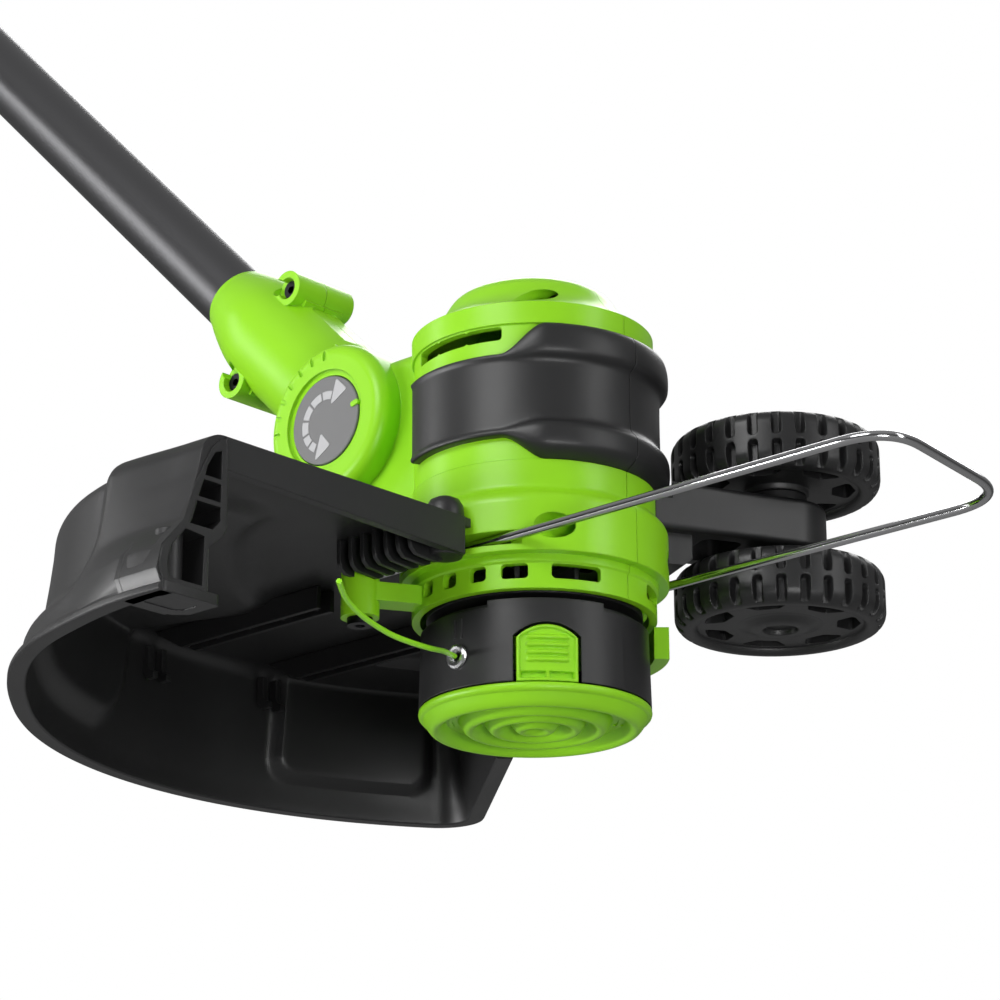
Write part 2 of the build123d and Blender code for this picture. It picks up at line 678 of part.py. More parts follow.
END_OUTLINE = [(-45, 57.0), (-142.5, 56.4), (-148.4, 52.8), (-152.0, 47.2), (-155.3, 39.1), (-158.8, 28.6),
               (-166.6, 19.6), (-168.6, 12.4), (-166.6, 8.6), (-166.6, 6.3), (-145.0, 6.3), (-145.0, 8.8),
               (-149.4, 9.6), (-149.6, 22.4), (-144.2, 26.6), (-142.8, 29.4), (-142.8, 47.0), (-45, 45.0)]
END_WINDOWS = [
    [(-145.6, 49.6), (-145.6, 42.0), (-150.6, 42.0), (-150.4, 45.0), (-148.6, 49.0)],
    [(-145.6, 40.6), (-145.6, 35.8), (-153.4, 35.8), (-151.4, 40.6)],
    [(-145.6, 34.4), (-145.6, 29.8), (-156.0, 26.6), (-153.8, 34.4)],
    [(-151.6, 24.4), (-151.6, 10.8), (-164.6, 10.8), (-166.2, 13.0), (-164.4, 19.0), (-158.0, 25.6)],
]
with BuildPart() as guard:
    with BuildSketch(radial(GUARD_FAR_ANGLE)):
        with BuildLine():
            guard_profile(0)
        make_face()
    revolve(axis=Axis.Z, revolution_arc=GUARD_SWEEP)
    for start, turn, inner_r in POCKETS:
        with BuildSketch(radial(start)):
            with BuildLine():
                pocket_profile(0, inner_r)
            make_face()
        revolve(axis=Axis.Z, revolution_arc=turn)
    with BuildSketch(radial(GUARD_FAR_ANGLE - 5)):
        with BuildLine():
            guard_profile(GUARD_WALL)
        make_face()
    revolve(axis=Axis.Z, revolution_arc=GUARD_SWEEP + 10, mode=Mode.SUBTRACT)
    for start, turn, inner_r in POCKETS:
        trim = degrees(GUARD_WALL / 150)
        with BuildSketch(radial(start + trim)):
            with BuildLine():
                pocket_profile(GUARD_WALL, inner_r)
            make_face()
        revolve(axis=Axis.Z, revolution_arc=turn - 2 * trim, mode=Mode.SUBTRACT)
    # flat lip round the rim
    with BuildSketch(radial(GUARD_FAR_ANGLE)):
        with BuildLine():
            Polyline((155.2, GUARD_LIP_Z), (GUARD_R, GUARD_LIP_Z), (GUARD_R, 8.4), (158.4, 11.8),
                     (155.2, 11.8), close=True)
        make_face()
    revolve(axis=Axis.Z, revolution_arc=GUARD_SWEEP)
    # wall that closes the far end
    with BuildSketch(radial(GUARD_FAR_ANGLE)):
        with BuildLine():
            guard_profile(0.4)
        make_face()
    revolve(axis=Axis.Z, revolution_arc=degrees(GUARD_WALL / 150))
    with BuildSketch(radial(GUARD_FAR_ANGLE - 1)):
        with BuildLine():
            Polyline((10, 0), (10, 44), (128, 44), (144, 36), (150.5, 22), (152.5, 10.0), (152.5, 0),
                     close=True)
        make_face()
    revolve(axis=Axis.Z, revolution_arc=6, mode=Mode.SUBTRACT)
    # the near end is cut square, then closed by a hollow end block
    with Locations((GUARD_END_X - 1.8 + 100, -100, 40)):
        Box(200, 260, 120, mode=Mode.SUBTRACT)
    with BuildSketch(Plane.YZ.offset(GUARD_END_X - 2.6)):
        with BuildLine():
            Polyline(*END_OUTLINE, close=True)
        make_face()
    extrude(amount=2.6)
    with BuildSketch(Plane.YZ.offset(GUARD_END_X - 17)):
        with BuildLine():
            Polyline((-142.8, 52.0), (-148.0, 50.0), (-152.0, 40.0), (-157.0, 28.0), (-164.8, 19.6),
                     (-166.6, 12.4), (-164.6, 8.6), (-164.6, 6.3), (-149.4, 6.3), (-149.6, 22.4),
                     (-144.2, 26.6), (-142.8, 29.4), close=True)
        make_face()
    extrude(amount=16.0)
    for window in END_WINDOWS:
        with BuildSketch(Plane.YZ.offset(GUARD_END_X - 14.5)):
            with BuildLine():
                Polyline(*window, close=True)
            make_face()
        extrude(amount=20, mode=Mode.SUBTRACT)
    with BuildSketch(Plane.XY.offset(10.8)):
        with Locations((GUARD_END_X - 6.0, -158.4)):
            Circle(3.9)
    extrude(amount=14.0)
    # inner rounded post beside the casing
    with BuildSketch(Plane.XY.offset(44.6)):
        with Locations((GUARD_END_X - 5.4, -49.6)):
            Circle(5.4)
    extrude(amount=18.0)
    # opening for the casing
    with BuildSketch(Plane.XY.offset(30)):
        Circle(43.4)
        with BuildLine():
            Polyline((-66, -20), (0, -20), (0, 20), (-66, 20), close=True)
        make_face()
    extrude(amount=60, mode=Mode.SUBTRACT)
    # ribs under the roof that carry the guard on the casing
    for y in RIB_LINES:
        for shift in (-3.0, 3.0):
            with Locations((-106, y + shift, 50.4)):
                Box(84, 1.6, 7.6)
        for step in range(5):
            with Locations((-146 + 20 * step, y, 50.8)):
                Box(1.5, 7.0, 6.4)
        for shift in (-3.0, 3.0):
            with Locations((-143, y + shift, 43.0)):
                Box(7.0, 1.6, 9.0)
            with Locations((-140.0, y + shift, 39.2)):
                Box(4.0, 1.6, 2.0)
    for step in range(7):
        with Locations((-26 + 5 * step, -53.4, 51.0)):
            Box(1.5, 15.0, 6.4)
    # screw bosses that stand on the casing's ears
    for x, y in GUARD_EARS:
        with BuildSketch(Plane.XY.offset(47.7)):
            with Locations((x, y)):
                Circle(6.0)
        extrude(amount=6.4)
        with BuildSketch(Plane.XY.offset(47.0)):
            with Locations((x, y)):
                Circle(2.2)
        extrude(amount=6.0, mode=Mode.SUBTRACT)
    # notch in the far wall that the wire guard slides back through
    with Locations((-44.0, WIRE_Y, WIRE_Z - 0.4)):
        Box(18.0, 5.0, 5.6, mode=Mode.SUBTRACT)
    # seat of the cutter blade
    with Locations((GUARD_END_X - 4.6, -148.9, 16.0)):
        Box(9.6, 1.24, 13.4, mode=Mode.SUBTRACT)
save(guard.part, "guard")

with BuildPart() as guard_screws:
    for x, y in GUARD_EARS:
        add(screw(Plane(origin=(x, y, 31.9), x_dir=(1, 0, 0), z_dir=(0, 0, -1)), 2.1, 20.0, 4.0, 2.4, 1.8))
save(guard_screws.part, "guard_screws")

with BuildPart() as cutter_blade:
    with Locations((GUARD_END_X - 4.2, -148.9, 16.0)):
        Box(8.6, 1.2, 13.0)
    chamfer(cutter_blade.edges().filter_by(Axis.Z).sort_by(Axis.X)[-1], 0.8)
save(cutter_blade.part, "cutter_blade")

# ---- edging wheels ------------------------------------------------------------------------------
BRACKET_LOW, BRACKET_HIGH = 66.0, 82.0
BRACKET_END_R = 16.0
HUB_GAP = 0.3
with BuildPart() as wheel_bracket:
    with BuildSketch(Plane.XY.offset(BRACKET_LOW)):
        with BuildLine():
            Polyline((WHEEL_X, -BRACKET_END_R), (30, -18.0), (30, 18.0), (WHEEL_X, BRACKET_END_R))
            ThreePointArc((WHEEL_X, BRACKET_END_R), (WHEEL_X + BRACKET_END_R, 0), (WHEEL_X, -BRACKET_END_R))
        make_face()
    extrude(amount=BRACKET_HIGH - BRACKET_LOW)
    fillet(wheel_bracket.edges().filter_by(Axis.X, reverse=True).group_by(Axis.Z)[0]
           .filter_by(lambda edge: edge.center().X > 40), 2.0)
    fillet(wheel_bracket.edges().filter_by(Axis.X, reverse=True).group_by(Axis.Z)[-1]
           .filter_by(lambda edge: edge.center().X > 40), 2.0)
    # foot against the casing
    with BuildSketch(Plane.XZ):
        with BuildLine():
            Polyline((30, 55.6), (46, 55.6), (49, 58.0), (49, 70), (44.4, 75.8), (30, 75.8), close=True)
        make_face()
    extrude(amount=13.0, both=True)
    with BuildSketch(Plane.XY.offset(WHEEL_Z[0] + WHEEL_W / 2 + HUB_GAP)):
        with Locations((WHEEL_X, 0)):
            Circle(10.0)
    extrude(amount=WHEEL_Z[1] - WHEEL_Z[0] - WHEEL_W - 2 * HUB_GAP)
    with BuildSketch(Plane.XY.offset(10)):
        with Locations((WHEEL_X, 0)):
            Circle(AXLE_R + 0.01)
    extrude(amount=100, mode=Mode.SUBTRACT)
    with BuildSketch(Plane.XY.offset(BRACKET_LOW - 1)):
        with Locations((61, 0)):
            RectangleRounded(14, 22, 3)
    extrude(amount=9, mode=Mode.SUBTRACT)
    add(casing_outer.part, mode=Mode.SUBTRACT)
    add(ring_of(0, BAND_RIB_R + 0.5, BAND_Z - 0.5, EAVE_Z), mode=Mode.SUBTRACT)
save(wheel_bracket.part.rotate(Axis.Z, WHEEL_TURN), "wheel_bracket")

# the axle's ends lie in the sunk hubs
AXLE_ENDS = (WHEEL_Z[0] - WHEEL_W / 2 + 4.6, WHEEL_Z[1] + WHEEL_W / 2 - 4.6)
with BuildPart() as wheel_axle:
    with BuildSketch(Plane.XY.offset(AXLE_ENDS[0])):
        with Locations((WHEEL_X, 0)):
            Circle(AXLE_R)
    extrude(amount=AXLE_ENDS[1] - AXLE_ENDS[0])
save(wheel_axle.part.rotate(Axis.Z, WHEEL_TURN), "wheel_axle")

with BuildPart() as wheel_screws:
    for z, up in zip(AXLE_ENDS, (-1, 1)):
        with BuildSketch(Plane(origin=(WHEEL_X, 0, z), x_dir=(1, 0, 0), z_dir=(0, 0, up))):
            Circle(5.2)
        extrude(amount=2.2)
        with BuildSketch(Plane(origin=(WHEEL_X, 0, z + 2.2 * up), x_dir=(1, 0, 0), z_dir=(0, 0, up))):
            RegularPolygon(2.0, 6)
        extrude(amount=-1.5, mode=Mode.SUBTRACT)
save(wheel_screws.part.rotate(Axis.Z, WHEEL_TURN), "wheel_screws")

NOTCHES = 26
SPOKES = 7


def wheel(middle, outer_side):
    """Edging wheel with a sunk hub on its outer side and two staggered rows of tread notches."""
    h = WHEEL_W / 2
    plane = Plane(origin=(WHEEL_X, 0, middle), x_dir=(1, 0, 0), z_dir=(0, 0, outer_side))
    with BuildPart() as made:
        with BuildSketch(Plane(plane.origin, x_dir=(1, 0, 0), z_dir=(0, -outer_side, 0))):
            with BuildLine():
                Polyline((AXLE_R + 0.06, -h), (10.4, -h), (12.0, -h + 2.2), (26.0, -h + 2.0), (27.8, -h),
                         (29.6, -h))
                ThreePointArc((29.6, -h), (32.9, -h + 1.3), (WHEEL_R, -h + 4.4))
                Line((WHEEL_R, -h + 4.4), (WHEEL_R, h - 4.4))
                ThreePointArc((WHEEL_R, h - 4.4), (32.9, h - 1.3), (29.6, h))
                Polyline((29.6, h), (27.8, h), (26.0, h - 2.0), (12.0, h - 2.2), (10.4, h - 0.4),
                         (6.4, h - 0.4), (6.4, h - 4.9), (AXLE_R + 0.06, h - 4.9),
                         (AXLE_R + 0.06, -h))
            make_face()
        revolve(axis=Axis(plane.origin, (0, 0, 1)))
        for face in (-1, 1):
            with BuildSketch(plane.offset(face * (h - 1.8))):
                with PolarLocations(19.2, SPOKES):
                    Trapezoid(11.6, 10.2, 112, rotation=90)
            extrude(amount=-face * 3.4, mode=Mode.SUBTRACT)
        for row, phase in ((-3.9, 0.0), (3.9, 180.0 / NOTCHES)):
            with BuildSketch(plane.offset(row - 2.7)):
                with PolarLocations(WHEEL_R + 0.4, NOTCHES, start_angle=phase):
                    Rectangle(3.2, 2.8)
            extrude(amount=5.4, mode=Mode.SUBTRACT)
    return made.part.rotate(Axis.Z, WHEEL_TURN)


save(wheel(WHEEL_Z[0], -1), "wheel_lower")
save(wheel(WHEEL_Z[1], 1), "wheel_upper")

# ---- wire guard ---------------------------------------------------------------------------------
WIRE_BACK, WIRE_FRONT = -34.0, 163.0
with BuildPart() as wire_guard:
    with BuildLine() as wire_path:
        FilletPolyline((WIRE_BACK, -WIRE_Y, WIRE_Z), (WIRE_FRONT - 6, -WIRE_Y, WIRE_Z),
                       (WIRE_FRONT, 0, WIRE_Z), (WIRE_FRONT - 6, WIRE_Y, WIRE_Z),
                       (WIRE_BACK, WIRE_Y, WIRE_Z), radius=[16.0, 60.0, 16.0])
    with BuildSketch(Plane(origin=(WIRE_BACK, -WIRE_Y, WIRE_Z), z_dir=(1, 0, 0))):
        Circle(WIRE_R)
    sweep(path=wire_path.wire())
save(wire_guard.part, "wire_guard")

# ---- neck and lower tube ------------------------------------------------------------------------
NECK_BOSSES = ((67.0, 19.6), (67.5, -18.6))
with BuildPart() as neck:
    with BuildSketch(SIDE):
        with BuildLine():
            Polyline((18, 0), (18, NECK_R), (70, NECK_R))
            Spline((70, NECK_R), (80, 18.6), (89, 16.4), (96.5, 13.9), tangents=[(1, 0), (1, -0.4)])
            Polyline((96.5, 13.9), (NECK_END, 13.5), (NECK_END, 0), (18, 0))
        make_face()
    revolve(axis=Axis(PIVOT, SHAFT_DIR))
    for x, y in NECK_BOSSES:
        with BuildSketch(SIDE.offset(-13.2)):
            with Locations((x, y)):
                Circle(6.3)
        extrude(amount=26.4)
        with BuildSketch(SIDE.offset(-9.0)):
            with Locations((x, y * 0.86)):
                Rectangle(15, 6)
        extrude(amount=18.0)
    with BuildSketch(SIDE.offset(-40)):
        Circle(CHEEK_R + 0.9)
    extrude(amount=80, mode=Mode.SUBTRACT)
    with BuildSketch(SIDE):
        Circle(18.8)
        with Locations((16, 0)):
            Rectangle(32, 33)
    extrude(amount=CHEEK_INNER_Y - 0.4, both=True)
    with BuildSketch(across(33.0)):
        Circle(TUBE_R + 0.03)
    extrude(amount=80, mode=Mode.SUBTRACT)
    with BuildSketch(SIDE):
        Circle(5.05)
    extrude(amount=20, both=True, mode=Mode.SUBTRACT)
    with BuildSketch(Plane(origin=at_side(46, NECK_R - 1.2), x_dir=SHAFT_DIR, z_dir=SIDE.y_dir)):
        RectangleRounded(27, 15, 5)
    extrude(amount=6, mode=Mode.SUBTRACT)
    for x, y in NECK_BOSSES:
        inward = -3.4 if y > 0 else 3.4
        for face in (-1, 1):
            with BuildSketch(SIDE.offset(face * 9.0)):
                with Locations((x, y)):
                    Circle(3.9)
                with Locations((x + 4.2, y + inward * 0.6)):
                    Circle(3.0)
            extrude(amount=face * 8, mode=Mode.SUBTRACT)
        with BuildSketch(SIDE):
            with Locations((x, y)):
                Circle(1.55)
        extrude(amount=12, both=True, mode=Mode.SUBTRACT)
save(half(neck.part, -1), "neck_left")
save(half(neck.part, 1), "neck_right")

with BuildPart() as neck_screws:
    for x, y in NECK_BOSSES:
        add(screw(Plane(origin=at_side(x, y, -9.0), x_dir=(1, 0, 0), z_dir=(0, -1, 0)), 1.5, 16.0,
                  3.2, 2.2, 1.5))
save(neck_screws.part, "neck_screws")

save(sleeve(across(LOWER_TUBE_START), TUBE_R - TUBE_WALL, TUBE_R, LOWER_TUBE_END - LOWER_TUBE_START),
     "lower_tube")
save(sleeve(across(LOWER_TUBE_START + 4), 0, 2.4, LOWER_TUBE_END - LOWER_TUBE_START - 20), "power_lead")

# ---- upper tube, twist bush and clamp -------------------------------------------------------------
UPPER_BORE = UPPER_TUBE_R - 1.1
with BuildPart() as upper_tube:
    add(sleeve(across(UPPER_TUBE_START), UPPER_BORE, UPPER_TUBE_R, UPPER_TUBE_END - UPPER_TUBE_START))
save(upper_tube.part, "upper_tube")

with BuildPart() as twist_bush:
    add(sleeve(across(UPPER_TUBE_START + 0.2), TUBE_R + 0.05, UPPER_BORE - 0.05, 36.0))
    add(sleeve(across(UPPER_TUBE_START - 7.0), TUBE_R + 0.05, UPPER_TUBE_R, 6.8))
    with BuildSketch(across(UPPER_TUBE_START - 7.0)):
        with PolarLocations(UPPER_TUBE_R, 18):
            Circle(0.7, mode=Mode.ADD)
        Circle(TUBE_R + 0.05, mode=Mode.SUBTRACT)
    extrude(amount=6.8)
    add(sleeve(across(UPPER_TUBE_START - 0.4), TUBE_R + 0.05, UPPER_BORE - 0.05, 1.0))
save(twist_bush.part, "twist_bush")

CLAMP_START, CLAMP_LENGTH = UPPER_TUBE_START + 2.0, 42.0
CLAMP_EAR = Vector(CLAMP_START + CLAMP_LENGTH / 2, 25.4)       # bolt hole, in the side plane
with BuildPart() as clamp_collar:
    with BuildSketch(across(CLAMP_START)):
        Circle(20.4)
    extrude(amount=CLAMP_LENGTH)
    chamfer(clamp_collar.edges().filter_by(GeomType.CIRCLE), 1.6)
    with BuildSketch(SIDE):
        with Locations((CLAMP_EAR.X, 22.0)):
            RectangleRounded(CLAMP_LENGTH - 8, 18.0, 4.0)
    extrude(amount=8.0, both=True)
    with BuildSketch(across(CLAMP_START)):
        Circle(UPPER_TUBE_R + 0.01)
    extrude(amount=CLAMP_LENGTH, mode=Mode.SUBTRACT)
    with BuildSketch(SIDE):
        with Locations((CLAMP_EAR.X, 25.0)):
            Rectangle(60, 22)
    extrude(amount=0.8, both=True, mode=Mode.SUBTRACT)
    with BuildSketch(SIDE):
        with Locations(CLAMP_EAR):
            Circle(2.6)
    extrude(amount=12, both=True, mode=Mode.SUBTRACT)
save(clamp_collar.part, "clamp_collar")

with BuildPart() as clamp_bolt:
    with BuildSketch(SIDE.offset(-18.4)):
        with Locations(CLAMP_EAR):
            Circle(2.5)
    extrude(amount=27.0)
    with BuildSketch(SIDE.offset(8.6)):
        with Locations(CLAMP_EAR):
            RegularPolygon(5.0, 6)
    extrude(amount=4.0)
save(clamp_bolt.part, "clamp_bolt")

with BuildPart() as clamp_lever:
    with BuildSketch(SIDE.offset(-17.6)):
        with BuildLine():
            Polyline((CLAMP_EAR.X - 5.5, CLAMP_EAR.Y - 5), (CLAMP_EAR.X + 8, CLAMP_EAR.Y - 6),
                     (CLAMP_EAR.X + 46, CLAMP_EAR.Y - 4), (CLAMP_EAR.X + 50, CLAMP_EAR.Y + 2),
                     (CLAMP_EAR.X + 44, CLAMP_EAR.Y + 5), (CLAMP_EAR.X + 8, CLAMP_EAR.Y + 6),
                     (CLAMP_EAR.X - 5.5, CLAMP_EAR.Y + 5), close=True)
        make_face()
    extrude(amount=9.2)
    fillet(clamp_lever.edges().filter_by(Axis.Y), 2.6)
    with BuildSketch(SIDE.offset(-30)):
        with Locations(CLAMP_EAR):
            Circle(2.56)
    extrude(amount=40, mode=Mode.SUBTRACT)
save(clamp_lever.part, "clamp_lever")

# ---- front handle -------------------------------------------------------------------------------
AUX_X = 700.0                # place of its clamp along the shaft
AUX_AXIS_Y = 36.0            # tilt bolt above the shaft axis
AUX_TUBE_R = 11.5
with BuildPart() as aux_clamp:
    with BuildSketch(across(AUX_X - 19)):
        Circle(20.5)
        Circle(UPPER_TUBE_R + 0.01, mode=Mode.SUBTRACT)
    extrude(amount=38.0)
    chamfer(aux_clamp.edges().filter_by(GeomType.CIRCLE).group_by(SortBy.LENGTH)[-1], 1.4)
    with BuildSketch(SIDE):
        with Locations((AUX_X, AUX_AXIS_Y - 9.0)):
            Rectangle(20.0, 18.0)
        with Locations((AUX_X, AUX_AXIS_Y)):
            Circle(10.0)
    extrude(amount=9.5, both=True)
    with BuildSketch(SIDE):
        with Locations((AUX_X, AUX_AXIS_Y)):
            Circle(3.05)
    extrude(amount=30, both=True, mode=Mode.SUBTRACT)
save(aux_clamp.part, "aux_clamp")

with BuildPart() as aux_bolt:
    with BuildSketch(SIDE.offset(-21.0)):
        with Locations((AUX_X, AUX_AXIS_Y)):
            Circle(3.0)
    extrude(amount=44.0)
    with BuildSketch(SIDE.offset(20.2)):
        with Locations((AUX_X, AUX_AXIS_Y)):
            RegularPolygon(6.0, 6)
    extrude(amount=4.6)
save(aux_bolt.part, "aux_bolt")


def aux_point(x, y, z):
    """Point of the bail: x up the shaft, y away from it, z to the side."""
    return at_side(AUX_X + x, AUX_AXIS_Y + y, z)


BAIL_HALF, BAIL_RISE = 68.0, 118.0
with BuildPart() as aux_handle:
    with BuildLine() as bail_path:
        FilletPolyline(aux_point(0, 24, -15.0), aux_point(6, 46, -BAIL_HALF),
                       aux_point(22, BAIL_RISE, -BAIL_HALF), aux_point(22, BAIL_RISE, BAIL_HALF),
                       aux_point(6, 46, BAIL_HALF), aux_point(0, 24, 15.0), radius=[24.0, 26.0, 26.0, 24.0])
    with BuildSketch(Plane(origin=bail_path.wire() @ 0, z_dir=bail_path.wire() % 0)):
        Circle(8.2)
    sweep(path=bail_path.wire())
    for face in (-1, 1):
        with BuildSketch(SIDE.offset(face * 9.8)):
            with Locations((AUX_X, AUX_AXIS_Y + 11.0)):
                SlotOverall(48.0, 26.0, rotation=90)
        extrude(amount=face * 10.0)
    with BuildSketch(SIDE):
        with Locations((AUX_X, AUX_AXIS_Y)):
            Circle(3.06)
    extrude(amount=40, both=True, mode=Mode.SUBTRACT)
save(aux_handle.part, "aux_handle")

with BuildPart() as aux_grip:
    with BuildSketch(Plane(origin=aux_point(22, BAIL_RISE, -38), z_dir=(0, 1, 0))):
        Circle(AUX_TUBE_R)
        Circle(8.21, mode=Mode.SUBTRACT)
    extrude(amount=76)
    chamfer(aux_grip.edges().filter_by(GeomType.CIRCLE).group_by(SortBy.LENGTH)[-1], 1.2)
save(aux_grip.part, "aux_grip")

with BuildPart() as aux_knob:
    with BuildSketch(SIDE.offset(-20.2)):
        with Locations((AUX_X, AUX_AXIS_Y)):
            Circle(13.0)
            with PolarLocations(14.2, 6):
                Circle(3.6, mode=Mode.SUBTRACT)
            Circle(3.06, mode=Mode.SUBTRACT)
    extrude(amount=-13.0)
    fillet(aux_knob.edges().group_by(Axis.Y)[0], 1.2)
save(aux_knob.part, "aux_knob")

# ---- rear handle --------------------------------------------------------------------------------
HANDLE_OUTLINE = [(852, -19), (852, 19), (898, 24), (934, 58), (960, 68), (1040, 70), (1068, 66),
                  (1088, 54), (1096, 40), (1096, -44), (1060, -48), (1010, -40), (950, -24), (905, -21)]
HAND_HOLE = [(944, 12), (950, 34), (964, 40), (1034, 42), (1050, 34), (1056, 6), (1046, -12), (1020, -16),
             (966, -4)]
HANDLE_WALL = 2.8
FLANGE_START = 1074.0
FLANGE_W, FLANGE_H, FLANGE_MIDDLE_Y = 66.0, 108.0, 4.0
TRACK_Z = 24.0               # tracks of the battery, either side of the middle
with BuildPart() as handle_outer:
    with BuildSketch(SIDE):
        with BuildLine():
            FilletPolyline(*HANDLE_OUTLINE, radius=8, close=True)
        make_face()
        with BuildLine():
            FilletPolyline(*HAND_HOLE, radius=8, close=True)
        make_face(mode=Mode.SUBTRACT)
    extrude(amount=GRIP_Y, both=True)
    fillet(handle_outer.edges().filter_by(lambda edge: abs(edge.center().Y) > GRIP_Y - 0.01), 4.0)
    with BuildSketch(across(852)):
        Circle(20.0)
    extrude(amount=34.0)
    with BuildSketch(across(FLANGE_START)):
        with Locations((0, -FLANGE_MIDDLE_Y)):
            RectangleRounded(FLANGE_W, FLANGE_H, 10)
    extrude(amount=22.0)
    fillet(handle_outer.edges().group_by(Axis(PIVOT, SHAFT_DIR))[-1], 2.0)

TRIGGER_PIVOT = (952.0, 48.0)
HANDLE_SCREW_SPOTS = ((918.0, 10.0), (1066.0, 50.0), (1068.0, -34.0))
with BuildPart() as handle:
    add(handle_outer.part)
    with BuildSketch(SIDE):
        with BuildLine():
            FilletPolyline((890, -17), (890, 20), (902, 22), (938, 55), (962, 64), (1040, 66), (1072, 60),
                           (1084, 48), (1088, 36), (1088, -40), (1060, -44), (1012, -36), (950, -20),
                           (905, -17), radius=4, close=True)
        make_face()
        with BuildLine():
            FilletPolyline((940, 12), (946, 36), (962, 44), (1036, 46), (1053, 37), (1060, 6), (1049, -16),
                           (1021, -20), (964, -8), radius=6, close=True)
        make_face(mode=Mode.SUBTRACT)
    extrude(amount=GRIP_Y - HANDLE_WALL, both=True, mode=Mode.SUBTRACT)
    add(sleeve(across(840), 0, UPPER_TUBE_R + 0.01, 60.5), mode=Mode.SUBTRACT)
    # openings for the trigger, the lock-off button and the battery's contacts
    with BuildSketch(SIDE):
        with Locations((971, 38)):
            Rectangle(40, 18)
        with Locations((962, 66)):
            Rectangle(20.6, 16)
        with Locations((1092, 0)):
            Rectangle(16, 50)
    extrude(amount=7.8, both=True, mode=Mode.SUBTRACT)
    # screw posts
    for x, y in HANDLE_SCREW_SPOTS:
        with BuildSketch(SIDE):
            with Locations((x, y)):
                Circle(4.4)
        extrude(amount=GRIP_Y - 1.5, both=True)
        for face in (-1, 1):
            with BuildSketch(SIDE.offset(face * (GRIP_Y - 6.0))):
                with Locations((x, y)):
                    Circle(3.0)
            extrude(amount=face * 30, mode=Mode.SUBTRACT)
        with BuildSketch(SIDE):
            with Locations((x, y)):
                Circle(1.55)
        extrude(amount=14, both=True, mode=Mode.SUBTRACT)
    # pivot of the trigger
    with BuildSketch(SIDE):
        with Locations(TRIGGER_PIVOT):
            Circle(2.0)
    extrude(amount=GRIP_Y - 2.0, both=True)
    # tracks for the battery on the rear face
    for face in (-1, 1):
        with Locations(Location(at_side(1100, 0, face * TRACK_Z), (0, LEAN, 0))):
            Box(8.4, 6.0, 60)
save(half(handle.part, -1), "handle_left")
save(half(handle.part, 1), "handle_right")

with BuildPart() as handle_screws:
    for x, y in HANDLE_SCREW_SPOTS:
        seat = Plane(origin=at_side(x, y, -(GRIP_Y - 6.0)), x_dir=(1, 0, 0), z_dir=(0, -1, 0))
        add(screw(seat, 1.5, 18.0, 2.8, 2.0, 1.4))
save(handle_screws.part, "handle_screws")

with BuildPart() as trigger:
    with BuildSketch(SIDE):
        with BuildLine():
            FilletPolyline((946, 43), (946, 53), (954, 54), (986, 52), (988, 44), (985, 34), (974, 31),
                           (962, 33), (955, 40), radius=2.4, close=True)
        make_face()
        with Locations(TRIGGER_PIVOT):
            Circle(2.05, mode=Mode.SUBTRACT)
    extrude(amount=6.8, both=True)
    fillet(trigger.edges().filter_by(lambda edge: abs(edge.center().Y) > 6.7 and edge.length > 14), 1.6)
save(trigger.part, "trigger")

UP_SIDE = SIDE.y_dir
with BuildPart() as trigger_spring:
    for turn in range(4):
        with BuildSketch(Plane(origin=at_side(979, 53.4 + 2.4 * turn), x_dir=SHAFT_DIR, z_dir=UP_SIDE)):
            Circle(3.4)
            Circle(2.5, mode=Mode.SUBTRACT)
        extrude(amount=0.9)
        shift = 2.95 if turn % 2 else -2.95
        foot = at_side(979 + shift, 53.8 + 2.4 * turn)
        with BuildSketch(Plane(origin=foot, x_dir=SHAFT_DIR, z_dir=UP_SIDE)):
            Circle(0.42)
        extrude(amount=2.2)
save(trigger_spring.part, "trigger_spring")

with BuildPart() as lock_off_button:
    with BuildSketch(SIDE):
        with BuildLine():
            FilletPolyline((953, 60), (953, 71), (957, 73.5), (967, 73.5), (971, 71), (971, 60), radius=1.6,
                           close=True)
        make_face()
    extrude(amount=6.8, both=True)
save(lock_off_button.part, "lock_off_button")

with BuildPart() as switch_box:
    with Locations(Location(at_side(1010, 54), (0, LEAN, 0))):
        Box(28, 16, 13)
    with Locations(Location(at_side(994, 54), (0, LEAN, 0))):
        Box(4, 4, 4)
    chamfer(switch_box.edges().filter_by(Axis.Y).group_by(Axis(PIVOT, SHAFT_DIR))[-1], 1.0)
save(switch_box.part, "switch_box")

with BuildPart() as contact_block:
    with Locations(Location(at_side(1087, 0), (0, LEAN, 0))):
        Box(21, 14, 40)
    for z in (-4.4, 0, 4.4):
        with Locations(Location(at_side(1099, 0, z), (0, LEAN, 0))):
            Box(6, 0.9, 26)
save(contact_block.part, "contact_block")

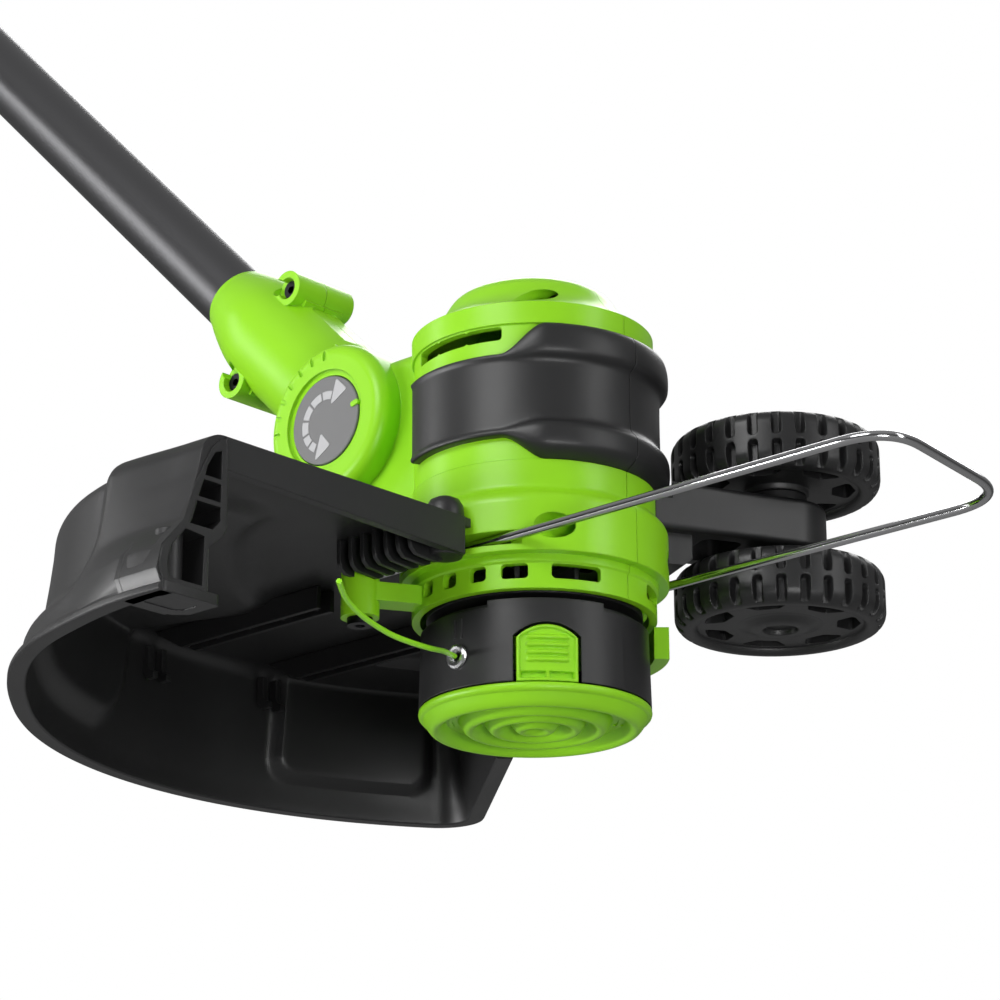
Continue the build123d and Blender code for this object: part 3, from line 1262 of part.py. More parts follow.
PACK_START, PACK_END = 1096.6, 1158.0
PACK_TOP_Y = FLANGE_MIDDLE_Y + FLANGE_H / 2
LATCH_X = 1128.0
with BuildPart() as battery_pack:
    with BuildSketch(across(PACK_START)):
        with Locations((0, -FLANGE_MIDDLE_Y)):
            RectangleRounded(FLANGE_W, FLANGE_H, 9)
    extrude(amount=PACK_END - PACK_START)
    fillet(battery_pack.edges().group_by(Axis(PIVOT, SHAFT_DIR))[-1], 5.0)
    with BuildSketch(across(PACK_START + 9.0)):
        with Locations((0, -FLANGE_MIDDLE_Y)):
            RectangleRounded(FLANGE_W - 6.0, FLANGE_H - 6.0, 6)
    extrude(amount=PACK_END - PACK_START - 12.0, mode=Mode.SUBTRACT)
    # grooves for the tracks and the slot for the contacts, open at the lower end
    for face in (-1, 1):
        with BuildSketch(across(PACK_START - 1)):
            with Locations((face * TRACK_Z, 10.3)):
                Rectangle(7.2, 83)
        extrude(amount=9.2, mode=Mode.SUBTRACT)
    with BuildSketch(across(PACK_START - 1)):
        with Locations((0, 19)):
            Rectangle(17, 80)
    extrude(amount=7.6, mode=Mode.SUBTRACT)
    with BuildSketch(Plane(origin=at_side(LATCH_X, PACK_TOP_Y - 5), x_dir=SHAFT_DIR, z_dir=UP_SIDE)):
        RectangleRounded(18.0, 30.0, 3.0)
    extrude(amount=12, mode=Mode.SUBTRACT)
save(battery_pack.part, "battery_pack")

with BuildPart() as battery_cells:
    for row in (1116.5, 1135.8):
        with BuildSketch(Plane(origin=at_side(row, -36.0), x_dir=SHAFT_DIR, z_dir=UP_SIDE)):
            with GridLocations(1, 19.2, 1, 3):
                Circle(9.1)
        extrude(amount=65.0)
save(battery_cells.part, "battery_cells")

with BuildPart() as battery_latch:
    with BuildSketch(Plane(origin=at_side(LATCH_X, PACK_TOP_Y - 3.6), x_dir=SHAFT_DIR, z_dir=UP_SIDE)):
        RectangleRounded(17.0, 29.0, 2.6)
    extrude(amount=5.0)
    with BuildSketch(Plane(origin=at_side(LATCH_X, PACK_TOP_Y + 1.4), x_dir=SHAFT_DIR, z_dir=UP_SIDE)):
        with GridLocations(3.4, 1, 4, 1):
            Rectangle(1.2, 22)
    extrude(amount=0.8)
save(battery_latch.part, "battery_latch")
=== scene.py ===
import json
from math import acos, asin, cos, degrees, hypot, pi, radians, sin, sqrt, tan

import bmesh
import bpy
from mathutils import Matrix, Vector
from mathutils.geometry import tessellate_polygon


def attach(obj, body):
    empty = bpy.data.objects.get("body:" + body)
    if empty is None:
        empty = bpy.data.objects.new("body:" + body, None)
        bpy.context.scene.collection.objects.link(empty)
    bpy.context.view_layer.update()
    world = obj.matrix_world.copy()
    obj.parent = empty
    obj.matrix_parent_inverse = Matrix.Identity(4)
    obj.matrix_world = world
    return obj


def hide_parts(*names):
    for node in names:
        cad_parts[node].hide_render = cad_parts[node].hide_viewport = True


# Looks of the battery string trimmer, in metres, in the CAD model's frame: +Z up the spool's axis,
# +X away from the shaft, and the origin at the lowest point of the spool cap.
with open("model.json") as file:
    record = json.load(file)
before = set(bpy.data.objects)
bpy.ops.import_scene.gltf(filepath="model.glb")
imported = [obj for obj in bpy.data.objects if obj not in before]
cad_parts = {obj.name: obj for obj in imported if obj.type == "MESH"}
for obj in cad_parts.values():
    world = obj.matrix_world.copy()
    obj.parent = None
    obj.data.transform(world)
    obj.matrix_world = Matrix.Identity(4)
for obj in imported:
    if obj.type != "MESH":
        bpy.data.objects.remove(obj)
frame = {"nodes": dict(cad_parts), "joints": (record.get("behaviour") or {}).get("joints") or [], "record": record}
NODES = frame["nodes"]
JOINTS = {joint["name"]: joint for joint in frame["joints"]}
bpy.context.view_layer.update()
MM = 0.001

# ---- camera -------------------------------------------------------------------------------------
CAMERA_AT = Vector((0.64919, -0.72728, -0.25524))
CAMERA_TARGET = Vector((-0.00787, -0.00718, 0.0763))
CAMERA_ROLL = -0.27
LENS_MM = 116.7
SENSOR_MM = 36.0
FLOOR_Z = -0.30


def make_camera():
    data = bpy.data.cameras.new("camera")
    data.lens = LENS_MM
    data.sensor_width = SENSOR_MM
    data.clip_end = 20.0
    camera = bpy.data.objects.new("camera", data)
    bpy.context.scene.collection.objects.link(camera)
    look = (CAMERA_TARGET - CAMERA_AT).to_track_quat("-Z", "Y")
    camera.rotation_euler = (look.to_matrix() @ Matrix.Rotation(radians(CAMERA_ROLL), 3, "Z")).to_euler()
    camera.location = CAMERA_AT
    bpy.context.scene.camera = camera


make_camera()


# ---- materials ----------------------------------------------------------------------------------
def new_material(name):
    material = bpy.data.materials.new(name)
    material.use_nodes = True
    return material, material.node_tree.nodes, material.node_tree.links


EDGE_MM = 0.5                # radius that the shader rounds moulded edges with


def moulded(name, colour, roughness, grain_mm=0.22, grain=0.05, mottle=0.04, specular=0.5):
    """Injection-moulded plastic: rounded edges, fine grain, slow waves in gloss and colour."""
    material, nodes, links = new_material(name)
    shader = nodes["Principled BSDF"]
    shader.inputs["Specular IOR Level"].default_value = specular
    place = nodes.new("ShaderNodeTexCoord")

    broad = nodes.new("ShaderNodeTexNoise")
    broad.inputs["Scale"].default_value = 28.0
    broad.inputs["Detail"].default_value = 3.0
    links.new(place.outputs["Object"], broad.inputs["Vector"])
    tint = nodes.new("ShaderNodeMix")
    tint.data_type = "RGBA"
    tint.inputs["A"].default_value = [*(c * (1 - mottle) for c in colour), 1]
    tint.inputs["B"].default_value = [*(c * (1 + mottle) for c in colour), 1]
    links.new(broad.outputs["Fac"], tint.inputs["Factor"])
    links.new(tint.outputs["Result"], shader.inputs["Base Color"])

    gloss = nodes.new("ShaderNodeMapRange")
    gloss.inputs["From Min"].default_value = 0.3
    gloss.inputs["From Max"].default_value = 0.7
    gloss.inputs["To Min"].default_value = roughness - 0.035
    gloss.inputs["To Max"].default_value = roughness + 0.035
    links.new(broad.outputs["Fac"], gloss.inputs["Value"])
    links.new(gloss.outputs["Result"], shader.inputs["Roughness"])

    fine = nodes.new("ShaderNodeTexNoise")
    fine.inputs["Scale"].default_value = 1.0 / (grain_mm * MM)
    fine.inputs["Detail"].default_value = 2.0
    links.new(place.outputs["Object"], fine.inputs["Vector"])
    edge = nodes.new("ShaderNodeBevel")
    edge.samples = 4
    edge.inputs["Radius"].default_value = EDGE_MM * MM
    bump = nodes.new("ShaderNodeBump")
    bump.inputs["Strength"].default_value = 1.0
    bump.inputs["Distance"].default_value = grain * MM
    links.new(fine.outputs["Fac"], bump.inputs["Height"])
    links.new(edge.outputs["Normal"], bump.inputs["Normal"])
    links.new(bump.outputs["Normal"], shader.inputs["Normal"])
    return material


STREAK_MM = (0.3, 0.3, 8.0)  # size of the streaks on metal


def metal(name, colour, roughness, spread=0.08, bump_mm=0.004):
    """Metal with upright streaks left by drawing or turning."""
    material, nodes, links = new_material(name)
    shader = nodes["Principled BSDF"]
    shader.inputs["Metallic"].default_value = 1.0
    shader.inputs["Base Color"].default_value = [*colour, 1]
    place = nodes.new("ShaderNodeTexCoord")
    squeeze = nodes.new("ShaderNodeMapping")
    squeeze.inputs["Scale"].default_value = [1 / (s * MM) for s in STREAK_MM]
    links.new(place.outputs["Object"], squeeze.inputs["Vector"])
    noise = nodes.new("ShaderNodeTexNoise")
    noise.inputs["Scale"].default_value = 1.0
    noise.inputs["Detail"].default_value = 4.0
    links.new(squeeze.outputs["Vector"], noise.inputs["Vector"])
    gloss = nodes.new("ShaderNodeMapRange")
    gloss.inputs["To Min"].default_value = max(roughness - spread, 0.02)
    gloss.inputs["To Max"].default_value = roughness + spread
    links.new(noise.outputs["Fac"], gloss.inputs["Value"])
    links.new(gloss.outputs["Result"], shader.inputs["Roughness"])
    bump = nodes.new("ShaderNodeBump")
    bump.inputs["Distance"].default_value = bump_mm * MM
    links.new(noise.outputs["Fac"], bump.inputs["Height"])
    links.new(bump.outputs["Normal"], shader.inputs["Normal"])
    return material


def make_materials():
    return {
        "green_plastic": moulded("green_plastic", (0.262, 0.625, 0.012), 0.34, grain=0.010,
                                 mottle=0.02, specular=0.38),
        "black_plastic": moulded("black_plastic", (0.0125, 0.0125, 0.013), 0.40, grain=0.030, mottle=0.10),
        "grey_plastic": moulded("grey_plastic", (0.150, 0.150, 0.152), 0.45, grain=0.02),
        "mark_plastic": moulded("mark_plastic", (0.42, 0.42, 0.43), 0.50, grain=0.01),
        "shaft_metal": metal("shaft_metal", (0.14, 0.14, 0.145), 0.34),
        "steel": metal("steel", (0.60, 0.60, 0.61), 0.28),
        "dark_steel": metal("dark_steel", (0.03, 0.03, 0.032), 0.40),
        "motor_steel": metal("motor_steel", (0.45, 0.45, 0.46), 0.32),
        "magnet": moulded("magnet", (0.06, 0.06, 0.065), 0.6),
        "copper": metal("copper", (0.72, 0.30, 0.12), 0.35),
        "chrome": metal("chrome", (0.50, 0.50, 0.51), 0.12, spread=0.02, bump_mm=0.0),
        "line_nylon": moulded("line_nylon", (0.30, 0.75, 0.02), 0.22, grain=0.004),
        "cable_rubber": moulded("cable_rubber", (0.018, 0.018, 0.018), 0.6),
        "grip_rubber": moulded("grip_rubber", (0.016, 0.016, 0.016), 0.62, grain_mm=0.4, grain=0.06),
        "cell_wrap": moulded("cell_wrap", (0.02, 0.10, 0.30), 0.3),
    }


MATERIALS = make_materials()


# ---- surface of the CAD nodes ---------------------------------------------------------------------
def paint(thing, slot):
    thing.data.materials.clear()
    thing.data.materials.append(MATERIALS[slot])


def dress_nodes():
    for row in frame["record"]["subparts"]:
        paint(NODES[row["node"]], row["material_slot"])


dress_nodes()


# ---- trimmer line ---------------------------------------------------------------------------------
LINE_D = 1.66 * MM
LINE_ROUTE_MM = [(0.65, -37.25, 16.8), (5.0, -46.4, 15.6), (10.6, -55.2, 13.0), (15.8, -64.4, 10.6),
                 (19.2, -75.2, 9.2), (21.2, -85.6, 8.9), (24.0, -94.8, 9.1), (28.1, -104.4, 9.0),
                 (32.9, -113.9, 9.2), (39.0, -123.2, 9.1), (46.4, -132.1, 9.3)]


def curve_piece(name, points_mm, radius):
    """Round bar that follows the points, closed at both ends."""
    data = bpy.data.curves.new(name, "CURVE")
    data.dimensions = "3D"
    data.bevel_depth = radius
    data.bevel_resolution = 6
    data.resolution_u = 12
    data.use_fill_caps = True
    spline = data.splines.new("NURBS")
    spline.points.add(len(points_mm) - 1)
    for point, place in zip(spline.points, points_mm):
        point.co = (*(c * MM for c in place), 1.0)
    spline.order_u = 3
    spline.use_endpoint_u = True
    thing = bpy.data.objects.new(name, data)
    bpy.context.scene.collection.objects.link(thing)
    return thing


def make_line():
    line = curve_piece("trimmer_line_cut", LINE_ROUTE_MM, LINE_D / 2)
    line.data.materials.append(MATERIALS["line_nylon"])
    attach(line, "spool")
    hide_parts("trimmer_line")


make_line()


# ---- mesh helpers -----------------------------------------------------------------------------------
def link_mesh(name, verts_mm, faces, body, slot, replaced=(), sharp=35.0):
    """Makes a piece from corner points in millimetres and its faces, and lets it ride on a body."""
    mesh = bpy.data.meshes.new(name)
    mesh.from_pydata([tuple(c * MM for c in v) for v in verts_mm], [], faces)
    mesh.validate()
    work = bmesh.new()
    work.from_mesh(mesh)
    bmesh.ops.remove_doubles(work, verts=work.verts, dist=0.000002)
    bmesh.ops.recalc_face_normals(work, faces=work.faces)
    work.to_mesh(mesh)
    work.free()
    for polygon in mesh.polygons:
        polygon.use_smooth = True
    mesh.set_sharp_from_angle(angle=radians(sharp))
    thing = bpy.data.objects.new(name, mesh)
    bpy.context.scene.collection.objects.link(thing)
    thing.data.materials.append(MATERIALS[slot])
    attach(thing, body)
    if replaced:
        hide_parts(*replaced)
    return thing


def smoothstep(value, low, high):
    """From 0 at low to 1 at high, without a kink."""
    share = min(max((value - low) / (high - low), 0.0), 1.0)
    return share * share * (3 - 2 * share)


def arc_2d(centre, radius, start, end, steps):
    """Points on an arc, with its angles in degrees."""
    turns = [radians(start + (end - start) * k / steps) for k in range(steps + 1)]
    return [(centre[0] + radius * cos(t), centre[1] + radius * sin(t)) for t in turns]


def run_2d(start, end, step):
    """Points along a straight run, without its last one."""
    length = (Vector(end) - Vector(start)).length
    count = max(1, round(length / step))
    return [tuple(Vector(start).lerp(Vector(end), k / count)) for k in range(count)]


def normals_2d(points):
    """Unit normals to the left of a walk along the points."""
    found = []
    for k in range(len(points)):
        before, after = points[max(k - 1, 0)], points[min(k + 1, len(points) - 1)]
        along = (Vector(after) - Vector(before)).normalized()
        found.append(Vector((-along.y, along.x)))
    return found


def plate(outline, holes, place, low, high):
    """Closed plate: an outline with holes, both in plane coordinates, between two depths."""
    loops = [outline, *holes]
    flat_loops = [[Vector((*p, 0.0)) for p in loop] for loop in loops]
    flat = [p for loop in flat_loops for p in loop]
    triangles = tessellate_polygon(flat_loops)
    count = len(flat)
    verts = [place(p.x, p.y, low) for p in flat] + [place(p.x, p.y, high) for p in flat]
    faces = [tuple(t) for t in triangles] + [tuple(i + count for i in reversed(t)) for t in triangles]
    first = 0
    for loop in loops:
        size = len(loop)
        for k in range(size):
            a, b = first + k, first + (k + 1) % size
            faces.append((a, b, b + count, a + count))
        first += size
    return verts, faces


def joined(parts):
    """Several lots of corner points and faces as one."""
    verts, faces = [], []
    for part_verts, part_faces in parts:
        base = len(verts)
        verts += part_verts
        faces += [tuple(i + base for i in face) for face in part_faces]
    return verts, faces


def rounded(corners, radius, steps=4):
    """Polygon with its corners rounded, walking in the corners' order."""
    points = []
    count = len(corners)
    for k in range(count):
        here = Vector(corners[k])
        before = (Vector(corners[k - 1]) - here).normalized()
        after = (Vector(corners[(k + 1) % count]) - here).normalized()
        half_turn = before.angle(after) / 2
        back = min(radius / tan(half_turn), 0.45 * (Vector(corners[k - 1]) - here).length,
                   0.45 * (Vector(corners[(k + 1) % count]) - here).length)
        start, end = here + before * back, here + after * back
        for step in range(steps + 1):
            share = step / steps
            one, two = start.lerp(here, share), here.lerp(end, share)
            points.append(tuple(one.lerp(two, share)))
    return points


def lathe(profile, centre=(0.0, 0.0), steps=64):
    """Round piece about an upright axis, from radius and height."""
    verts, faces = [], []
    for k in range(steps):
        c, s = cos(2 * pi * k / steps), sin(2 * pi * k / steps)
        verts += [(centre[0] + r * c, centre[1] + r * s, z) for r, z in profile]
    rows = len(profile)
    for k in range(steps):
        for row in range(rows - 1):
            a, b = k * rows + row, (k + 1) % steps * rows + row
            faces.append((a, b, b + 1, a + 1))
    return verts, faces


def around(angle, radius):
    """Point at an angle in degrees and a distance from the middle."""
    return (radius * cos(radians(angle)), radius * sin(radians(angle)))


def flat_place(x, y, z):
    return (x, y, z)


def outward_place(angle, radius, height):
    """Plane coordinates along the turn and up, with depth away from the spool's axis, as a point."""
    c, s = cos(radians(angle)), sin(radians(angle))
    return lambda x, y, depth: ((radius + depth) * c - x * s, (radius + depth) * s + x * c, height + y)


# ---- guard ------------------------------------------------------------------------------------------
GUARD_FAR = 139.0            # the far end's turn about the spool, in degrees
GUARD_END_X = 11.8           # the near end's plane
GUARD_ROOF_Z = 57.0
GUARD_IN_R = 43.6            # where the roof starts at the casing
GUARD_RIM_R = 161.5
GUARD_CORNER = 16.0          # radius of the far end's corner in plan
GUARD_END_START = 58.0       # where the far end's wall starts
WIRE_NOTCH_R, WIRE_NOTCH_Z = 72.0, 44.0      # room in that wall for the wire guard slid in
GUARD_WALL = 2.8
END_COLUMNS, CORNER_COLUMNS, GUARD_COLUMNS = 14, 12, 250      # along the far end, its corner and the spool
GUARD_UNROLL_R = 152.0       # radius at which the dents are laid out flat
DENT_TOP_Z = GUARD_ROOF_Z - 4.0 + GUARD_UNROLL_R
# dents pressed into the wall and roof: start and end about the spool, inner radius, corner radius, softness
GUARD_DENTS = ((196.0, 261.0, 88.0, 20.0, 9.0), (145.5, 169.5, 112.0, 9.0, 4.5))
DENT_FOOT_Z = 16.0
DENT_IN, DENT_DOWN = 4.4, 3.2
DENT_WALL_R = 146.0          # outside this radius the section is wall, inside it is roof


def guard_outer():
    """Outer section of the guard from the casing down to the lip, as radius and height."""
    points = run_2d((GUARD_IN_R, GUARD_ROOF_Z), (80.0, GUARD_ROOF_Z), 9.0)
    points += run_2d((80.0, GUARD_ROOF_Z), (144.6, GUARD_ROOF_Z), 2.6)
    points += arc_2d((144.6, GUARD_ROOF_Z - 8.6), 8.6, 90, 6, 10)
    points += run_2d((153.3, 46.0), (154.4, 36.0), 1.6)[1:]
    points += run_2d((154.4, 36.0), (155.9, 25.0), 1.5)
    points += run_2d((155.9, 25.0), (157.6, 15.0), 1.2)
    points += [(157.6, 15.0), (158.3, 11.6)]
    return points


def dent_share(angle, height):
    """How deep a point lies in a dent, from 0 to 1; height runs up the wall and on across the roof."""
    share = 0.0
    for start, end, inner, corner, soft in GUARD_DENTS:
        half_u = radians(end - start) * GUARD_UNROLL_R / 2
        top = DENT_TOP_Z - inner
        half_v = (top - DENT_FOOT_Z) / 2
        u = abs(radians(angle - (start + end) / 2) * GUARD_UNROLL_R) - half_u + corner
        v = abs(height - DENT_FOOT_Z - half_v) - half_v + corner
        outside = hypot(max(u, 0.0), max(v, 0.0)) + min(max(u, v), 0.0) - corner
        share = max(share, smoothstep(-outside, 0.0, soft))
    return share


# the rim widens over these turns, and then the wall swells out towards the end block
WIDEN_FROM, WIDEN_TO, WIDEN_BY = 224.0, 253.0, 4.6
SWELL_FROM, SWELL_TO, SWELL_IN_R = 256.0, 271.0, 140.0
# how far it swells, by height
END_SWELL = ((0.0, 6.0), (9.0, 6.4), (12.4, 10.4), (19.6, 10.0), (28.6, 3.7), (39.0, 1.8), (48.0, 0.0),
             (70.0, 0.0))


def stepped(table, value):
    """Straight-line reading of a table of pairs."""
    for (a, low), (b, high) in zip(table, table[1:]):
        if a <= value <= b:
            return low + (high - low) * (value - a) / (b - a)
    return 0.0


def guard_section():
    """Closed section as radius, height, outward normal and the height used for the dents."""
    outer = guard_outer()
    normals = normals_2d(outer)
    unrolled = [z if r > DENT_WALL_R else DENT_TOP_Z - r for r, z in outer]
    lip = [(158.9, 10.0), (160.2, 8.9), (161.2, 8.5), (161.5, 8.0), (161.5, 6.8), (161.1, 6.3), (156.4, 6.3),
           (155.9, 6.7), (155.7, 7.6)]
    section = [(r, z, n, up) for (r, z), n, up in zip(outer, normals, unrolled)]
    section += [(r, z, Vector((0.0, 0.0)), 0.0) for r, z in lip]
    section += [(r - n.x * GUARD_WALL, z - n.y * GUARD_WALL, n, up) for (r, z), n, up in
                reversed(list(zip(outer, normals, unrolled)))]
    return section


def make_guard_shell():
    """Guard swept from its square far end round the corner and the spool to its near end."""
    section = guard_section()
    rows = len(section)
    wall_rows = len(guard_outer())
    centre_r = GUARD_RIM_R - GUARD_CORNER
    turn = GUARD_FAR + degrees(asin(GUARD_CORNER / centre_r))
    reach = centre_r * cos(radians(turn - GUARD_FAR))
    edge = Vector(around(GUARD_FAR, 1.0))
    square = Vector(around(GUARD_FAR - 90, 1.0))
    corner = Vector(around(turn, centre_r))
    verts, faces = [], []
    for step in range(END_COLUMNS + 1):          # along the far end, from the casing outwards
        base = corner - edge * (reach - GUARD_END_START) * (1 - step / END_COLUMNS)
        roof_r = GUARD_END_START + (centre_r - GUARD_END_START) * step / END_COLUMNS
        roof = Vector(around(turn, roof_r))
        for row, (r, z, _, _) in enumerate(section):
            spot = roof.lerp(base, min((r - GUARD_IN_R) / (centre_r - GUARD_IN_R), 1.0))
            if roof_r < WIRE_NOTCH_R and r > centre_r:
                z = min(z, WIRE_NOTCH_Z - (0.0 if row < wall_rows else GUARD_WALL))
            verts.append((*(spot + square * max(r - centre_r, 0.0)), z))
    for step in range(1, CORNER_COLUMNS + 1):    # round the corner
        lean = GUARD_FAR - 90 + (turn - GUARD_FAR + 90) * step / CORNER_COLUMNS
        verts += [(*(corner + Vector(around(lean, max(r - centre_r, 0.0)))), z) for r, z, _, _ in section]
    for column in range(GUARD_COLUMNS + 1):      # round the spool
        share = column / GUARD_COLUMNS
        for r, z, n, up in section:
            angle = turn + (360 - degrees(acos(GUARD_END_X / r)) - turn) * share
            dent = dent_share(angle, up)
            near = smoothstep(angle, SWELL_FROM, SWELL_TO)
            wide = WIDEN_BY * smoothstep(angle, WIDEN_FROM, WIDEN_TO) * (1 - near)
            swell = near * stepped(END_SWELL, z) * (1.0 if r > SWELL_IN_R else 0.0)
            r += wide + swell - n.x * DENT_IN * dent
            z -= n.y * DENT_DOWN * dent
            verts.append((*around(angle, r), z))
    columns = len(verts) // rows
    for column in range(columns - 1):
        for row in range(rows):
            a, b = column * rows + row, column * rows + (row + 1) % rows
            faces.append((a, b, b + rows, a + rows))
    for first in (0, (columns - 1) * rows):      # close both ends
        for row in range(wall_rows - 1):
            inner = rows - 1 - row
            faces.append((first + row, first + row + 1, first + inner - 1, first + inner))
        faces.append(tuple(first + row for row in range(wall_rows - 1, rows - wall_rows + 1)))
    return link_mesh("guard_shell", verts, faces, "head", "black_plastic", replaced=["guard"])


def cross_place(x, z, depth):
    """Plane coordinates forwards and up, with depth to the side, as a point."""
    return (x, depth, z)


def end_place(y, z, depth):
    """Plane coordinates to the side and up, with depth back from the guard's near end, as a point."""
    return (GUARD_END_X - depth, y, z)


END_BAND = [(-45.0, 57.0), (-143.4, 56.6), (-143.4, 46.9), (-45.0, 45.0)]
END_BLOCK = [(-142.6, 56.6), (-145.6, 55.4), (-148.6, 52.6), (-151.6, 47.2), (-155.3, 39.1), (-158.8, 28.6),
             (-166.6, 19.6), (-168.4, 12.4), (-166.6, 8.6), (-166.6, 6.5), (-149.4, 6.5), (-149.4, 22.4),
             (-144.2, 26.6), (-142.6, 29.4)]
END_WINDOWS = [
    [(-145.0, 52.0), (-145.0, 43.4), (-151.2, 43.4), (-150.4, 46.4), (-147.6, 51.0)],
    [(-145.0, 42.0), (-145.0, 36.6), (-153.6, 36.6), (-151.6, 42.0)],
    [(-145.0, 35.2), (-145.0, 31.2), (-148.0, 28.0), (-156.6, 28.0), (-154.2, 35.2)],
    [(-150.8, 25.4), (-151.2, 10.8), (-164.6, 10.8), (-166.0, 13.0), (-164.6, 18.4), (-158.0, 26.0)],
]
RAIL_LINES = (-29.0, 24.0)   # middles of the two pairs of rails
RAIL_GAP = 3.0
RAIL_RIBS, RIB_FIRST_X, RIB_STEP = 5, -132.0, 15.5
COMB_FINS, FIN_FIRST_X, FIN_STEP = 7, -26.0, 5.0
RAIL_SIDE = [(-142.0, 53.9), (-129.0, 46.6), (-64.0, 46.6), (-64.0, 53.9)]
HOOK_SIDE = [(-147.4, 50.0), (-147.4, 41.4), (-145.4, 38.6), (-141.8, 38.6), (-141.8, 40.8), (-143.8, 41.6),
             (-144.4, 43.4), (-144.4, 50.0)]
COMB_SIDE = [(-61.0, 54.2), (-61.0, 47.6), (-60.2, 45.4), (-58.2, 43.8), (-49.4, 43.2), (-47.2, 44.0),
             (-46.4, 46.0), (-46.4, 54.2)]
BAR_PLAN = [(-166.4, 12.8), (-145.0, 12.8), (-145.0, 0.6), (-148.6, -3.4), (-166.4, -3.4)]
BAR_SLOT = [(-163.0, 8.8), (-149.0, 8.8), (-149.0, 2.2), (-151.0, 0.4), (-163.0, 0.4)]
GUARD_EARS = ((-28.0, -49.4), (-50.0, 27.0))


def make_guard_details():
    band = plate(END_BAND, [], end_place, -0.5, 2.6)
    block = plate(END_BLOCK, END_WINDOWS, end_place, -0.4, 15.0)
    back = plate(END_BLOCK, [], end_place, 15.0, 17.0)
    link_mesh("guard_end", *joined([band, block, back]), "head", "black_plastic")

    rails = []
    for line in RAIL_LINES:
        for side in (-RAIL_GAP, RAIL_GAP):
            rails.append(plate(RAIL_SIDE, [], cross_place, line + side - 0.8, line + side + 0.8))
            rails.append(plate(HOOK_SIDE, [], cross_place, line + side - 1.0, line + side + 1.0))
        for step in range(RAIL_RIBS):
            x = RIB_FIRST_X + RIB_STEP * step
            rib = [(x - 0.6, 48.2), (x + 0.6, 48.2), (x + 0.6, 53.9), (x - 0.6, 53.9)]
            rails.append(plate(rib, [], cross_place, line - RAIL_GAP, line + RAIL_GAP))
    link_mesh("guard_rails", *joined(rails), "head", "black_plastic")

    # comb, clip bar and round boss at the near end
    fins = []
    for step in range(COMB_FINS):
        x = FIN_FIRST_X + FIN_STEP * step
        fins.append(plate(COMB_SIDE, [], lambda y, z, depth, x=x: (x + depth, y, z), -0.75, 0.75))
    link_mesh("guard_comb", *joined(fins), "head", "black_plastic")
    bar = plate(rounded(BAR_PLAN, 1.6), [rounded(BAR_SLOT, 1.8)], lambda y, x, z: (x, y, z), 6.3, 9.4)
    link_mesh("guard_clip_bar", *bar, "head", "black_plastic", sharp=50.0)
    link_mesh("guard_round_boss", *lathe([(0.0, 26.6), (3.9, 26.6), (3.9, 9.0), (0.0, 9.0)], (5.8, -158.4)),
              "head", "black_plastic")
    post = [(0.0, 64.0), (2.6, 63.8), (4.6, 62.8), (5.7, 60.8), (5.9, 58.0), (5.9, 46.0), (5.3, 44.8),
            (0.0, 44.6)]
    lobe = [(0.0, 63.2), (3.4, 62.8), (5.8, 61.0), (6.6, 57.6), (6.6, 50.0), (0.0, 50.0)]
    link_mesh("guard_post", *joined([lathe(post, (5.9, -47.2)), lathe(lobe, (-3.4, -48.4))]),
              "head", "black_plastic")
    ring = [(2.2, 47.7), (6.0, 47.7), (6.0, 56.0), (2.2, 56.0), (2.2, 47.7)]
    ears = [lathe(ring, spot) for spot in GUARD_EARS]
    link_mesh("guard_ear_bosses", *joined(ears), "head", "black_plastic")


make_guard_shell()
make_guard_details()


# ---- spool cap and eyelets ---------------------------------------------------------------------------
CAP_RIDGES = ((31.4, 3.5), (20.6, 3.5), (12.8, 3.5), (4.6, 3.6))     # radius and half width of each ridge
CAP_FLOOR = 3.9
CAP_FACE_R, CAP_STEPS = 34.4, 140
CAP_MARKS = (-150.0, -60.0, 30.0, 120.0)     # where the four turn marks start


def cap_height(r):
    """Height of the cap's outer face: low on the ridges, high in the grooves between them."""
    height = CAP_FLOOR
    for middle, reach in CAP_RIDGES:
        share = abs(r - middle) / reach
        if share < 1:
            height = min(height, CAP_FLOOR * (1 - cos(pi * share / 2) ** 0.9))
    return height


def make_cap():
    radii = [CAP_FACE_R * k / CAP_STEPS for k in range(CAP_STEPS + 1)]
    profile = [(r, cap_height(r)) for r in radii]
    profile += [(35.0, 3.9), (35.7, 4.1), (36.2, 4.7), (36.4, 5.4), (36.3, 6.1), (36.0, 6.5), (33.5, 6.6),
                (33.4, 6.8), (31.7, 6.8), (31.6, 5.6), (0.0, 5.6)]
    link_mesh("cap_ridged", *lathe(profile, steps=160), "spool", "green_plastic", replaced=["spool_cap"])
    marks = []
    for start in CAP_MARKS:
        arc = arc_2d((0, 0), 27.0, start, start + 24, 10) + arc_2d((0, 0), 25.8, start + 24, start, 10)
        tip = [around(start + 30, 26.4), around(start + 24, 28.0), around(start + 24, 24.8)]
        for outline in (arc, tip):
            marks.append(plate(outline, [], flat_place, CAP_FLOOR - 0.55, CAP_FLOOR + 0.4))
    link_mesh("cap_turn_marks", *joined(marks), "spool", "green_plastic")


EYELET_ANGLE = -89.0
EYELET_Z = 16.8


def make_eyelets():
    """Polished ferrules of the two line outlets, with their flanges rolled over."""
    rings = []
    for angle in (EYELET_ANGLE, EYELET_ANGLE + 180):
        place = outward_place(angle, 35.6, EYELET_Z)
        verts, faces = lathe([(2.35, -2.4), (2.35, 0.2), (3.5, 0.2), (3.9, 0.7), (3.7, 1.3), (3.0, 1.7),
                              (2.2, 1.6), (1.6, 0.9), (1.36, -0.2), (1.36, -2.4)], steps=48)
        rings.append(([place(x, y, z) for x, y, z in verts], faces))
    link_mesh("eyelet_ferrules", *joined(rings), "spool", "steel", replaced=["line_eyelets"])


make_cap()
make_eyelets()


